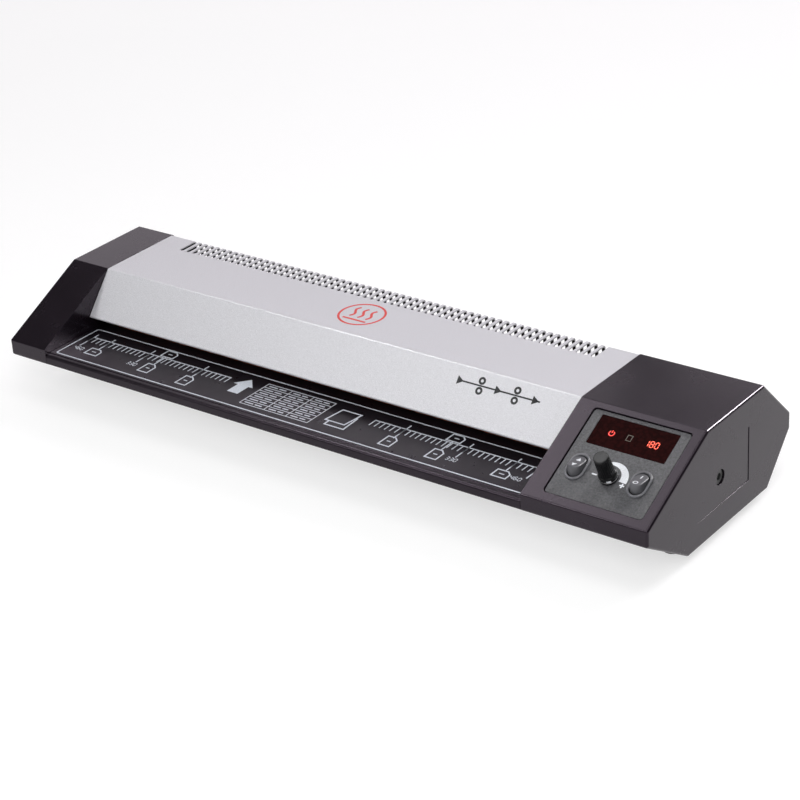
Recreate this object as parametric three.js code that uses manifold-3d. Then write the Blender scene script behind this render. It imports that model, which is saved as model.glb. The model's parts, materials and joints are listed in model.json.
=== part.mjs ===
// Pouch laminator with a 460 mm wide feed, as an assembly of separate pieces.
//
// Millimetres, +Z up, front (feed side) towards -Y, control side towards +X.
// The origin is the centre of the footprint, on the surface that the feet stand on.

import * as THREE from 'three';
import { mergeVertices } from 'three/addons/utils/BufferGeometryUtils.js';
import Module from 'manifold-3d';

// ---------------------------------------------------------------- driving dimensions

const LENGTH = 637.6;
const DEPTH = 212.7;
const HEIGHT = 99.5;
const FOOT_HEIGHT = 7;
const LEFT_CAP_WIDTH = 41.6;
const RIGHT_CAP_WIDTH = 109;
const WALL = 3;
const FIT = 0.3;

const X_LEFT = -LENGTH / 2;
const X_RIGHT = LENGTH / 2;
const Y_FRONT = -DEPTH / 2;
const Y_BACK = DEPTH / 2;
const Z_BASE = FOOT_HEIGHT;
const BAY_LEFT = X_LEFT + LEFT_CAP_WIDTH;
const BAY_RIGHT = X_RIGHT - RIGHT_CAP_WIDTH;
const BAY_MIDDLE = (BAY_LEFT + BAY_RIGHT) / 2;

// side profile, shared by both end caps
const FRONT_FOLD_Y = -20.55;
const REAR_FOLD_Y = 64.25;
const CAP_LIP_TOP = 57;
const CAP_LIP_BOTTOM = 43.5;
const CAP_REAR_TOP = 58.3;
const CAP_REAR_BOTTOM = 44.6;
const FLOOR_FRONT_Y = -48.25;
const FLOOR_REAR_Y = 71.35;
const CAP_EDGE_RADIUS = 4;

// sheet-steel top cover
const SHEET = 1.2;
const HEM = 7;
const COVER_LIP = { y: -50.95, z: 63.6 };
const COVER_REAR = { y: 68.5, z: 66 };
const VENT_COUNT = 62;
const VENT_PITCH = 7;
const VENT_WIDTH = 3;
const VENT_FRONT_Y = 41.5;
const VENT_BOTTOM_Z = 79.5;

// feed and exit trays
const TRAY_TOP = 52.5;
const TRAY_BACK_Y = -32;
const EXIT_FRONT_Y = 44;
const EXIT_REAR_TOP = 50.5;

// rollers and their gears
const NIP_Z = 55;
const ROLLER_RADIUS = 14;
const ROLLER_GAP = 0.3;
const ROLLER_LENGTH = 466;
const ROLLER_BORE = 10;
const JOURNAL_RADIUS = 4;
const FRONT_ROLLER_Y = -16;
const REAR_ROLLER_Y = 28;
const LOWER_ROLLER_Z = NIP_Z - ROLLER_RADIUS - ROLLER_GAP / 2;
const UPPER_ROLLER_Z = NIP_Z + ROLLER_RADIUS + ROLLER_GAP / 2;
const ROLLER_TEETH = 20;
const IDLER_TEETH = 12;
const PINION_TEETH = 10;
const GEAR_MODULE = (UPPER_ROLLER_Z - LOWER_ROLLER_Z) / ROLLER_TEETH;
const GEAR_X = 222;
const GEAR_WIDTH = 8;
const MOTOR_ANGLE = -Math.PI / 6;

// side frames, their bearings, and the opening in each cap's cheek
const FRAME_SHEET = 2;
const FRAME_OFFSET = 5;
const BEARING_RADIUS = 8;
const BEARING_WIDTH = 6;

// control panel, sunk into the slope of the right cap
const PANEL_LEFT = 225.2;
const PANEL_RIGHT = 309.2;
const PANEL_TOP = 6;
const PANEL_BOTTOM = 87.3;
const PANEL_DEPTH = 1;
const PANEL_SHEET = 2.5;
const PANEL_MIDDLE = (PANEL_LEFT + PANEL_RIGHT) / 2;
const WINDOW = { x: 267.2, s: 23, width: 67, height: 27.2, thickness: 2 };
const ROCKER = {
  x: 266, offset: 26.6, s: 59.5, width: 10.4, radius: 9.3, pivot: 1, crown: 4.6,
  tilt: Math.PI / 15, wedge: Math.PI / 12,
};
const KNOB = { x: 267.6, s: 61, skirt: 7.3, skirtHeight: 7, grip: 5.9, height: 25 };

// ---------------------------------------------------------------- finishes

const FINISH = {
  darkShell: [0x4b494e, 0.6, 0],
  paintedSteel: [0xd2cfd6, 0.4, 0.5],
  trayPlastic: [0x333237, 0.45, 0],
  panelPlastic: [0x696a70, 0.75, 0],
  blackPlastic: [0x17171a, 0.4, 0],
  smokedWindow: [0x260a0b, 0.1, 0],
  greyPlastic: [0x707074, 0.5, 0],
  rubber: [0x1b1b1b, 0.9, 0],
  silicone: [0xa8482f, 0.7, 0],
  steel: [0xb4b6b8, 0.35, 1],
  zincSteel: [0x9a9da0, 0.45, 1],
  aluminium: [0xc4c6c8, 0.4, 1],
  bronze: [0x9a7040, 0.5, 1],
  nylon: [0xe4e1d4, 0.55, 0],
  circuitBoard: [0x1d5b34, 0.5, 0],
};

const laminator = new THREE.Group();

function addPiece(name, geometry, finish, parent = laminator) {
  const [color, roughness, metalness] = FINISH[finish];
  const material = new THREE.MeshStandardMaterial({ color, roughness, metalness });
  const mesh = new THREE.Mesh(geometry, material);
  mesh.name = name;
  parent.add(mesh);
  return mesh;
}

// ---------------------------------------------------------------- solids

const wasm = await Module();
wasm.setup();

function toSolid(geometry) {
  const bare = geometry.clone();
  bare.deleteAttribute('normal');
  bare.deleteAttribute('uv');
  const merged = mergeVertices(bare, 1e-4);
  const corners = merged.index.array;
  const triangles = [];
  for (let i = 0; i < corners.length; i += 3) {
    const [a, b, c] = corners.slice(i, i + 3);
    if (a !== b && b !== c && c !== a) triangles.push(a, b, c);
  }
  return new wasm.Manifold(new wasm.Mesh({
    numProp: 3,
    vertProperties: new Float32Array(merged.attributes.position.array),
    triVerts: new Uint32Array(triangles),
  }));
}

function toGeometry(solid) {
  const mesh = solid.getMesh();
  const geometry = new THREE.BufferGeometry();
  geometry.setAttribute('position', new THREE.BufferAttribute(mesh.vertProperties, 3));
  geometry.setIndex(new THREE.BufferAttribute(mesh.triVerts, 1));
  geometry.computeVertexNormals();
  return geometry;
}

function cut(body, ...cutters) {
  return toGeometry(cutters.reduce((solid, cutter) => solid.subtract(toSolid(cutter)), toSolid(body)));
}

function overlapOf(first, second) {
  return toGeometry(toSolid(first).intersect(toSolid(second)));
}

function join(...pieces) {
  const [first, ...others] = pieces.map(toSolid);
  return toGeometry(others.reduce((solid, other) => solid.add(other), first));
}

// a closed outline from [x, y, corner radius] corners
function filletedShape(corners) {
  const shape = new THREE.Shape();
  corners.forEach(([x, y, radius = 0], index) => {
    const corner = new THREE.Vector2(x, y);
    const before = corners.at(index - 1);
    const after = corners[(index + 1) % corners.length];
    const back = new THREE.Vector2(before[0] - x, before[1] - y).normalize();
    const ahead = new THREE.Vector2(after[0] - x, after[1] - y).normalize();
    const half = Math.acos(back.dot(ahead)) / 2;
    const start = corner.clone().addScaledVector(back, radius / Math.tan(half));
    if (index === 0) shape.moveTo(start.x, start.y);
    else shape.lineTo(start.x, start.y);
    if (radius === 0) return;
    const end = corner.clone().addScaledVector(ahead, radius / Math.tan(half));
    const centre = back.clone().add(ahead).normalize().multiplyScalar(radius / Math.sin(half)).add(corner);
    const from = start.sub(centre).angle();
    const to = end.sub(centre).angle();
    shape.absarc(centre.x, centre.y, radius, from, to, back.cross(ahead) > 0);
  });
  shape.closePath();
  return shape;
}

// the corners of a convex counter-clockwise outline, moved inwards by a distance
function insetCorners(corners, distance) {
  return corners.map((corner, index) => {
    const point = new THREE.Vector2(corner[0], corner[1]);
    const before = corners.at(index - 1);
    const after = corners[(index + 1) % corners.length];
    const back = new THREE.Vector2(before[0] - point.x, before[1] - point.y).normalize();
    const ahead = new THREE.Vector2(after[0] - point.x, after[1] - point.y).normalize();
    const half = Math.acos(back.dot(ahead)) / 2;
    const inward = back.add(ahead).normalize();
    point.addScaledVector(inward, distance / Math.sin(half));
    return [point.x, point.y, corner[2]];
  });
}

// the closed section of a bent sheet, from the [y, z] points of its outer face in
// counter-clockwise order, so that the sheet's thickness lies on the left of the path
function sheetShape(path, thickness, bend) {
  const inner = path.map(([y, z], index) => {
    const before = path[Math.max(index - 1, 0)];
    const after = path[Math.min(index + 1, path.length - 1)];
    const into = new THREE.Vector2(y - before[0], z - before[1]).normalize();
    const out = new THREE.Vector2(after[0] - y, after[1] - z).normalize();
    const along = into.clone().add(out).normalize();
    const isEnd = index === 0 || index === path.length - 1;
    const stretch = isEnd ? 1 : along.dot(out);
    const side = new THREE.Vector2(-along.y, along.x).multiplyScalar(thickness / stretch);
    const turnsLeft = into.cross(out) > 0;
    return { y: y + side.x, z: z + side.y, isEnd, turnsLeft };
  });
  const outerCorners = path.map(([y, z], i) => {
    const radius = inner[i].turnsLeft ? bend + thickness : bend;
    return [y, z, inner[i].isEnd ? 0 : radius];
  });
  const innerCorners = inner.map(({ y, z, isEnd, turnsLeft }) => {
    const radius = turnsLeft ? bend : bend + thickness;
    return [y, z, isEnd ? 0 : radius];
  });
  return filletedShape([...outerCorners, ...innerCorners.reverse()]);
}

// an outline drawn in (y, z), extruded from x0 to x1
const ALONG_X = new THREE.Matrix4().makeBasis(
  new THREE.Vector3(0, 1, 0),
  new THREE.Vector3(0, 0, 1),
  new THREE.Vector3(1, 0, 0),
);

function alongX(shape, x0, x1, curveSegments = 3) {
  const geometry = new THREE.ExtrudeGeometry(shape, { depth: x1 - x0, bevelEnabled: false, curveSegments });
  return geometry.applyMatrix4(ALONG_X).translate(x0, 0, 0);
}

function box(x0, x1, y0, y1, z0, z1) {
  const geometry = new THREE.BoxGeometry(x1 - x0, y1 - y0, z1 - z0);
  return geometry.translate((x0 + x1) / 2, (y0 + y1) / 2, (z0 + z1) / 2);
}

function circleShape(y, z, radius) {
  return new THREE.Shape().absarc(y, z, radius, 0, 2 * Math.PI);
}

function rodAlongX(y, z, radius, x0, x1, segments = 16) {
  const geometry = new THREE.CylinderGeometry(radius, radius, x1 - x0, segments);
  return geometry.rotateZ(Math.PI / 2).translate((x0 + x1) / 2, y, z);
}

// a turned piece along X, from [x, radius] points that start and end on its axis
function turnedAlongX(points, y, z, segments = 16) {
  const profile = points.map(([x, radius]) => new THREE.Vector2(radius, x));
  return new THREE.LatheGeometry(profile, segments).rotateZ(-Math.PI / 2).translate(0, y, z);
}

// ---------------------------------------------------------------- end caps

const CAP_OUTLINE = [
  [Y_FRONT, CAP_LIP_BOTTOM],
  [FLOOR_FRONT_Y, Z_BASE],
  [FLOOR_REAR_Y, Z_BASE],
  [Y_BACK, CAP_REAR_BOTTOM],
  [Y_BACK, CAP_REAR_TOP],
  [REAR_FOLD_Y, HEIGHT],
  [FRONT_FOLD_Y, HEIGHT],
  [Y_FRONT, CAP_LIP_TOP],
];
const CHEEK_OPENING = { y0: -34, y1: 54, z0: 13, z1: 80 };
const PANEL_SLOPE = Math.atan2(HEIGHT - CAP_LIP_TOP, FRONT_FOLD_Y - Y_FRONT);

// the panel's own frame: x as the part's, y up the slope from the fold, z out of the slope
const panelFrame = new THREE.Group();
panelFrame.position.set(0, FRONT_FOLD_Y, HEIGHT);
panelFrame.rotation.x = PANEL_SLOPE;
panelFrame.updateMatrix();
laminator.add(panelFrame);

function roundedRectangle(x, y, width, height, radius) {
  const right = x + width / 2;
  const top = y + height / 2;
  return filletedShape([
    [right - width, top - height, radius],
    [right, top - height, radius],
    [right, top, radius],
    [right - width, top, radius],
  ]);
}

function plate(shape, z0, z1, curveSegments = 3) {
  const geometry = new THREE.ExtrudeGeometry(shape, { depth: z1 - z0, bevelEnabled: false, curveSegments });
  return geometry.translate(0, 0, z0);
}

// a shell that is rounded round its outer end and has an opening in its inner cheek
function capShell(outerX, innerX, endWall) {
  const side = Math.sign(outerX);
  const width = Math.abs(outerX - innerX);
  const block = new THREE.ExtrudeGeometry(filletedShape(CAP_OUTLINE), {
    depth: width,
    bevelThickness: CAP_EDGE_RADIUS,
    bevelSize: CAP_EDGE_RADIUS,
    bevelOffset: -CAP_EDGE_RADIUS,
    bevelSegments: 4,
  });
  block.applyMatrix4(ALONG_X);
  block.translate(side > 0 ? outerX - width - CAP_EDGE_RADIUS : outerX + CAP_EDGE_RADIUS, 0, 0);
  const [beyond0, beyond1] = side > 0 ? [innerX - width, innerX] : [innerX, innerX + width];
  const inside = [outerX - side * endWall, innerX + side * WALL].sort((a, b) => a - b);
  const cheek = [innerX - side * WALL, innerX + 2 * side * WALL].sort((a, b) => a - b);
  const { y0, y1, z0, z1 } = CHEEK_OPENING;
  return cut(
    block,
    box(beyond0, beyond1, 2 * Y_FRONT, 2 * Y_BACK, 0, 2 * HEIGHT),
    alongX(filletedShape(insetCorners(CAP_OUTLINE, WALL)), ...inside),
    box(...cheek, y0, y1, z0, z1),
  );
}

const END_WALL = 5;
const SIDE_RECESS = { y: 41, z0: 29, z1: 75, depth: 2.5 };
const PLUG = { y: -2, z: 52, radius: 6 };
const GLAND = { x: 280, z: 51.45, radius: 4.8, bore: 3, flange: 5.7 };

// a wedge that starts at the surface at the front and is deepest at the back
function sideRecess() {
  const { y, z0, z1, depth } = SIDE_RECESS;
  return plate(filletedShape([
    [X_RIGHT, -y],
    [X_RIGHT + 1, -y],
    [X_RIGHT + 1, y],
    [X_RIGHT - depth, y],
  ]), z0, z1);
}

function panelOpening() {
  return plate(panelOutline(0), -WALL - 1, WALL).applyMatrix4(panelFrame.matrix);
}

function glandHole() {
  const hole = new THREE.CylinderGeometry(GLAND.radius + FIT, GLAND.radius + FIT, 4 * WALL, 16);
  return hole.translate(GLAND.x, Y_BACK, GLAND.z);
}

function addEndCaps() {
  addPiece('left_end_cap', capShell(X_LEFT, BAY_LEFT, WALL), 'darkShell');
  const rightCap = cut(
    capShell(X_RIGHT, BAY_RIGHT, END_WALL),
    panelOpening(),
    sideRecess(),
    rodAlongX(PLUG.y, PLUG.z, PLUG.radius + FIT, X_RIGHT - 2 * END_WALL, X_RIGHT + 1),
    glandHole(),
  );
  addPiece('right_end_cap', rightCap, 'darkShell');
}

function addSidePlug() {
  const inner = X_RIGHT - END_WALL - FIT;
  const outer = X_RIGHT - SIDE_RECESS.depth + 1;
  const plug = turnedAlongX([
    [inner - 2, 0],
    [inner - 2, PLUG.radius + 2],
    [inner, PLUG.radius + 2],
    [inner, PLUG.radius],
    [outer, PLUG.radius],
    [outer, PLUG.radius / 2],
    [outer - 1, PLUG.radius / 2],
    [outer - 1, 0],
  ], PLUG.y, PLUG.z);
  addPiece('side_plug', plug, 'blackPlastic');
}

function addCordGland() {
  const wallInside = Y_BACK - WALL - FIT;
  const profile = [
    [GLAND.bore, wallInside - 4],
    [GLAND.flange, wallInside - 4],
    [GLAND.flange, wallInside],
    [GLAND.radius, wallInside],
    [GLAND.radius, Y_BACK - 0.2],
    [GLAND.bore, Y_BACK - 0.2],
    [GLAND.bore, wallInside - 4],
  ].map(([radius, y]) => new THREE.Vector2(radius, y));
  const ring = new THREE.LatheGeometry(profile, 16).translate(GLAND.x, 0, GLAND.z);
  addPiece('cord_gland', ring, 'rubber');
}

// ---------------------------------------------------------------- cover, trays and base

function ventCutters() {
  const cutters = [];
  for (let column = 0; column < VENT_COUNT; column += 1) {
    const x = BAY_MIDDLE + (column - (VENT_COUNT - 1) / 2) * VENT_PITCH;
    const half = VENT_WIDTH / 2;
    cutters.push(box(x - half, x + half, VENT_FRONT_Y, Y_BACK, VENT_BOTTOM_Z, 2 * HEIGHT));
  }
  return cutters;
}

function addTopCover() {
  const section = sheetShape([
    [COVER_REAR.y - HEM, COVER_REAR.z],
    [COVER_REAR.y, COVER_REAR.z],
    [REAR_FOLD_Y, HEIGHT],
    [FRONT_FOLD_Y, HEIGHT],
    [COVER_LIP.y, COVER_LIP.z],
    [COVER_LIP.y + HEM, COVER_LIP.z],
  ], SHEET, 1);
  const sheet = alongX(section, BAY_LEFT + FIT, BAY_RIGHT - FIT, 1);
  addPiece('top_cover', cut(sheet, ...ventCutters()), 'paintedSteel');
}

function addTrays() {
  const left = BAY_LEFT + FRAME_SHEET + 2 * FIT;
  const right = BAY_RIGHT - FRAME_SHEET - 2 * FIT;
  const feed = filletedShape([
    [TRAY_BACK_Y, TRAY_TOP],
    [Y_FRONT, TRAY_TOP, 3],
    [Y_FRONT, CAP_LIP_BOTTOM, 1],
    [Y_FRONT + WALL, CAP_LIP_BOTTOM],
    [Y_FRONT + WALL, TRAY_TOP - WALL],
    [TRAY_BACK_Y, TRAY_TOP - WALL],
  ]);
  addPiece('feed_tray', alongX(feed, left, right), 'trayPlastic');
  const exit = filletedShape([
    [EXIT_FRONT_Y, TRAY_TOP - WALL],
    [Y_BACK - WALL, EXIT_REAR_TOP - WALL],
    [Y_BACK - WALL, CAP_REAR_BOTTOM],
    [Y_BACK, CAP_REAR_BOTTOM],
    [Y_BACK, EXIT_REAR_TOP, 2],
    [EXIT_FRONT_Y, TRAY_TOP],
  ]);
  addPiece('exit_tray', alongX(exit, left, right), 'trayPlastic');
}

const PAN_SHEET = 2.5;
const PAN_SETBACK = 3;

function addBasePan() {
  const frontSlope = new THREE.Vector2(FLOOR_FRONT_Y - Y_FRONT, Z_BASE - CAP_LIP_BOTTOM).setLength(PAN_SETBACK);
  const rearSlope = new THREE.Vector2(FLOOR_REAR_Y - Y_BACK, Z_BASE - CAP_REAR_BOTTOM).setLength(PAN_SETBACK);
  const section = sheetShape([
    [Y_FRONT + frontSlope.x, CAP_LIP_BOTTOM + frontSlope.y],
    [FLOOR_FRONT_Y, Z_BASE],
    [FLOOR_REAR_Y, Z_BASE],
    [Y_BACK + rearSlope.x, CAP_REAR_BOTTOM + rearSlope.y],
  ], PAN_SHEET, 1);
  addPiece('base_pan', alongX(section, BAY_LEFT + FIT, BAY_RIGHT - FIT, 1), 'darkShell');
}

const FOOT = { topRadius: 10, bottomRadius: 8.5, inset: 22, frontY: -34, backY: 56 };

function addFeet() {
  const places = {
    foot_front_left: [X_LEFT + FOOT.inset, FOOT.frontY],
    foot_front_right: [X_RIGHT - FOOT.inset, FOOT.frontY],
    foot_rear_left: [X_LEFT + FOOT.inset, FOOT.backY],
    foot_rear_right: [X_RIGHT - FOOT.inset, FOOT.backY],
  };
  const height = FOOT_HEIGHT - FIT / 2;
  for (const [name, [x, y]] of Object.entries(places)) {
    const cone = new THREE.CylinderGeometry(FOOT.topRadius, FOOT.bottomRadius, height, 24);
    addPiece(name, cone.rotateX(Math.PI / 2), 'rubber').position.set(x, y, height / 2);
  }
}

// ---------------------------------------------------------------- side frames and bearings

const ROLLERS = {
  upper_front: { y: FRONT_ROLLER_Y, z: UPPER_ROLLER_Z },
  lower_front: { y: FRONT_ROLLER_Y, z: LOWER_ROLLER_Z },
  upper_rear: { y: REAR_ROLLER_Y, z: UPPER_ROLLER_Z },
  lower_rear: { y: REAR_ROLLER_Y, z: LOWER_ROLLER_Z },
};
const FRAME_FOOT_Z = Z_BASE + PAN_SHEET + FIT;
const FRAME_TOP_Z = 84;
const EAR_TOP_Z = TRAY_TOP - WALL - 2 * FIT;
const IDLER = idlerPlace();

function idlerPlace() {
  const reach = GEAR_MODULE * (ROLLER_TEETH + IDLER_TEETH) / 2;
  const halfSpan = (REAR_ROLLER_Y - FRONT_ROLLER_Y) / 2;
  return {
    y: FRONT_ROLLER_Y + halfSpan,
    z: LOWER_ROLLER_Z - Math.sqrt(reach * reach - halfSpan * halfSpan),
  };
}

function frameShape() {
  const shape = filletedShape([
    [-46, FRAME_FOOT_Z],
    [69, FRAME_FOOT_Z],
    [88, 31],
    [88, 47.4, 2],
    [EXIT_FRONT_Y - 1, EAR_TOP_Z],
    [EXIT_FRONT_Y - 1, FRAME_TOP_Z, 6],
    [TRAY_BACK_Y + 1, FRAME_TOP_Z, 6],
    [TRAY_BACK_Y + 1, EAR_TOP_Z],
    [-88, EAR_TOP_Z, 2],
    [-88, 37],
  ]);
  const hole = BEARING_RADIUS + FIT;
  for (const { y, z } of Object.values(ROLLERS)) {
    const lift = z > NIP_Z ? 3 : 0.5;
    const slot = new THREE.Path();
    slot.absarc(y, z + lift, hole, 0, Math.PI);
    slot.absarc(y, z, hole, Math.PI, 2 * Math.PI);
    slot.closePath();
    shape.holes.push(slot);
  }
  return shape;
}

// a flanged ring; the flange is on the side of the feed path
function bearing(x, inward, { y, z }) {
  const profile = [
    [x - inward * BEARING_WIDTH / 2, JOURNAL_RADIUS + FIT],
    [x - inward * BEARING_WIDTH / 2, BEARING_RADIUS],
    [x + inward * (FRAME_SHEET / 2 + FIT), BEARING_RADIUS],
    [x + inward * (FRAME_SHEET / 2 + FIT), BEARING_RADIUS + 1.5],
    [x + inward * BEARING_WIDTH / 2, BEARING_RADIUS + 1.5],
    [x + inward * BEARING_WIDTH / 2, JOURNAL_RADIUS + FIT],
    [x - inward * BEARING_WIDTH / 2, JOURNAL_RADIUS + FIT],
  ];
  return turnedAlongX(inward > 0 ? profile : profile.reverse(), y, z);
}

function addSideFrames() {
  const ends = {
    left: { x: BAY_LEFT + FIT + FRAME_SHEET / 2, inward: 1 },
    right: { x: BAY_RIGHT - FIT - FRAME_SHEET / 2, inward: -1 },
  };
  for (const [end, { x, inward }] of Object.entries(ends)) {
    const frame = alongX(frameShape(), x - FRAME_SHEET / 2, x + FRAME_SHEET / 2);
    addPiece(`side_frame_${end}`, frame, 'zincSteel');
    for (const [name, place] of Object.entries(ROLLERS)) {
      addPiece(`${name}_bearing_${end}`, bearing(x, inward, place), 'bronze');
    }
    addPiece(`pressure_spring_${end}`, pressureSpring(x, inward), 'steel');
  }
}

// a leaf spring, which arches over the two upper bearings' flanges
function pressureSpring(frameX, inward) {
  const top = UPPER_ROLLER_Z + BEARING_RADIUS + 1.5 + FIT;
  const section = sheetShape([
    [REAR_ROLLER_Y + 8, top],
    [REAR_ROLLER_Y - 6, top],
    [REAR_ROLLER_Y - 16, top + 3],
    [FRONT_ROLLER_Y + 16, top + 3],
    [FRONT_ROLLER_Y + 6, top],
    [FRONT_ROLLER_Y - 8, top],
  ].reverse(), 0.8, 1);
  const near = frameX + inward * (FRAME_SHEET / 2 + FIT);
  const span = [near, near + inward * 5].sort((a, b) => a - b);
  return alongX(section, ...span, 1);
}

// ---------------------------------------------------------------- rollers and gear train

const GEAR = { addendum: 0.8, dedendum: 1.15, rootHalf: 0.3, tipHalf: 0.13, bore: JOURNAL_RADIUS + FIT };

// the phase that puts gear B's gap on gear A's tooth, along the line from A to B
function meshedPhase(teethA, phaseA, angle, teethB) {
  const pitchA = 2 * Math.PI / teethA;
  const pitchB = 2 * Math.PI / teethB;
  const toothPlace = (angle - phaseA) / pitchA;
  return angle + Math.PI - (0.5 - toothPlace) * pitchB;
}

function gear(y, z, teeth, phase, bore) {
  const pitch = 2 * Math.PI / teeth;
  const pitchRadius = GEAR_MODULE * teeth / 2;
  const root = pitchRadius - GEAR.dedendum * GEAR_MODULE;
  const tip = pitchRadius + GEAR.addendum * GEAR_MODULE;
  const shape = new THREE.Shape();
  const points = [];
  for (let tooth = 0; tooth < teeth; tooth += 1) {
    const middle = phase + tooth * pitch;
    const flanks = [[-GEAR.rootHalf, root], [-GEAR.tipHalf, tip], [GEAR.tipHalf, tip], [GEAR.rootHalf, root]];
    for (const [turn, radius] of flanks) {
      const angle = middle + turn * pitch;
      points.push(new THREE.Vector2(y + radius * Math.cos(angle), z + radius * Math.sin(angle)));
    }
  }
  shape.setFromPoints(points);
  if (bore > 0) shape.holes.push(new THREE.Path().absarc(y, z, bore, 0, 2 * Math.PI));
  return alongX(shape, GEAR_X, GEAR_X + GEAR_WIDTH, 8);
}

function addRoller(name, { y, z }, gearPhase) {
  const left = BAY_MIDDLE - ROLLER_LENGTH / 2;
  const right = BAY_MIDDLE + ROLLER_LENGTH / 2;
  const tube = new THREE.LatheGeometry([
    new THREE.Vector2(ROLLER_BORE, left),
    new THREE.Vector2(ROLLER_RADIUS, left),
    new THREE.Vector2(ROLLER_RADIUS, right),
    new THREE.Vector2(ROLLER_BORE, right),
    new THREE.Vector2(ROLLER_BORE, left),
  ], 32);
  addPiece(`${name}_roller`, tube.rotateZ(-Math.PI / 2).translate(0, y, z), 'silicone');
  const core = turnedAlongX([
    [BAY_LEFT - 4, 0],
    [BAY_LEFT - 4, JOURNAL_RADIUS],
    [left, JOURNAL_RADIUS],
    [left, ROLLER_BORE - FIT],
    [right, ROLLER_BORE - FIT],
    [right, JOURNAL_RADIUS],
    [GEAR_X + GEAR_WIDTH + 1, JOURNAL_RADIUS],
    [GEAR_X + GEAR_WIDTH + 1, 0],
  ], y, z, 16);
  addPiece(`${name}_shaft`, core, 'steel');
  addPiece(`${name}_gear`, gear(y, z, ROLLER_TEETH, gearPhase, GEAR.bore), 'nylon');
}

const MOTOR = { radius: 18, length: 28, shaft: 2.5 };
const IDLER_PIN_RADIUS = 3;

function addDriveTrain() {
  const { upper_front: upperFront, lower_front: lowerFront } = ROLLERS;
  const { upper_rear: upperRear, lower_rear: lowerRear } = ROLLERS;
  const toIdler = Math.atan2(IDLER.z - lowerRear.z, IDLER.y - lowerRear.y);
  const toFront = Math.atan2(lowerFront.z - IDLER.z, lowerFront.y - IDLER.y);
  const idlerPhase = meshedPhase(ROLLER_TEETH, 0, toIdler, IDLER_TEETH);
  const frontPhase = meshedPhase(IDLER_TEETH, idlerPhase, toFront, ROLLER_TEETH);
  const upward = Math.PI / 2;
  addRoller('lower_rear', lowerRear, 0);
  addRoller('upper_rear', upperRear, meshedPhase(ROLLER_TEETH, 0, upward, ROLLER_TEETH));
  addRoller('lower_front', lowerFront, frontPhase);
  addRoller('upper_front', upperFront, meshedPhase(ROLLER_TEETH, frontPhase, upward, ROLLER_TEETH));

  const idler = gear(IDLER.y, IDLER.z, IDLER_TEETH, idlerPhase, IDLER_PIN_RADIUS + FIT);
  addPiece('idler_gear', idler, 'nylon');
  const pin = rodAlongX(IDLER.y, IDLER.z, IDLER_PIN_RADIUS, BAY_RIGHT, GEAR_X + GEAR_WIDTH + 2);
  addPiece('idler_pin', pin, 'steel');

  const reach = GEAR_MODULE * (ROLLER_TEETH + PINION_TEETH) / 2;
  const y = lowerRear.y + reach * Math.cos(MOTOR_ANGLE);
  const z = lowerRear.z + reach * Math.sin(MOTOR_ANGLE);
  const pinionPhase = meshedPhase(ROLLER_TEETH, 0, MOTOR_ANGLE, PINION_TEETH);
  const motorX = GEAR_X + GEAR_WIDTH + 4;
  const shaft = rodAlongX(y, z, MOTOR.shaft, GEAR_X + GEAR_WIDTH / 2, motorX - FIT);
  addPiece('motor_pinion', join(gear(y, z, PINION_TEETH, pinionPhase, 0), shaft), 'nylon');
  const body = rodAlongX(y, z, MOTOR.radius, motorX, motorX + MOTOR.length, 32);
  const terminals = box(motorX + 8, motorX + 20, y - 8, y + 8, z + 10, z + MOTOR.radius + 5);
  addPiece('gear_motor', join(body, terminals), 'zincSteel');
}

// ---------------------------------------------------------------- heating

const HEATER = { y0: -0.5, y1: 12.5, sheet: 3, finHeight: 4, finWidth: 1.6, fins: 3, gap: 2 };

// an extruded bar with fins that point away from the feed path
function heatingBar(direction) {
  const { y0, y1, sheet, finHeight, finWidth, fins, gap } = HEATER;
  const x0 = BAY_LEFT + FRAME_SHEET + 2 * FIT;
  const x1 = BAY_RIGHT - FRAME_SHEET - 2 * FIT;
  const face = NIP_Z + direction * gap;
  const back = face + direction * sheet;
  const tip = back + direction * finHeight;
  const root = back - direction;
  const pieces = [box(x0, x1, y0, y1, Math.min(face, back), Math.max(face, back))];
  for (let fin = 0; fin < fins; fin += 1) {
    const y = y0 + fin * (y1 - y0 - finWidth) / (fins - 1);
    pieces.push(box(x0, x1, y, y + finWidth, Math.min(root, tip), Math.max(root, tip)));
  }
  return join(...pieces);
}

function addHeating() {
  addPiece('upper_heating_bar', heatingBar(1), 'aluminium');
  addPiece('lower_heating_bar', heatingBar(-1), 'aluminium');
  const barTop = NIP_Z + HEATER.gap + HEATER.sheet + HEATER.finHeight + FIT;
  const disc = new THREE.CylinderGeometry(5, 5, 6, 20).rotateX(Math.PI / 2);
  const lugs = box(-2, 2, -3, 3, 2, 6);
  const thermostat = addPiece('thermal_cutout', join(disc, lugs), 'blackPlastic');
  thermostat.position.set(BAY_MIDDLE, (HEATER.y0 + HEATER.y1) / 2, barTop + 3);

  const x0 = BAY_LEFT + FRAME_SHEET + 3 * FIT;
  const x1 = BAY_RIGHT - FRAME_SHEET - 3 * FIT;
  const upper = sheetShape([[41, 80], [38, 86.8], [-27, 86.8], [-35.5, 76.5]], 0.8, 1);
  addPiece('upper_heat_shield', alongX(upper, x0, x1, 1), 'zincSteel');
  const lower = sheetShape([[-35, 34], [-35, 20], [47, 20], [47, 34]], 0.8, 1);
  addPiece('lower_heat_shield', alongX(lower, x0, x1, 1), 'zincSteel');
}

// ---------------------------------------------------------------- control panel

const PANEL_TOP_Z = -PANEL_DEPTH;
const FLANGE_TOP_Z = -WALL - FIT;
const PANEL_BOTTOM_Z = FLANGE_TOP_Z - PANEL_SHEET;
const SWITCH = { spare: 0.8, rim: 1.3, flange: 0.8, flangeHeight: 2, depth: 12 };
const POT = { radius: 8.5, depth: 9, bush: 3.7, shaft: 3 };

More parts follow.
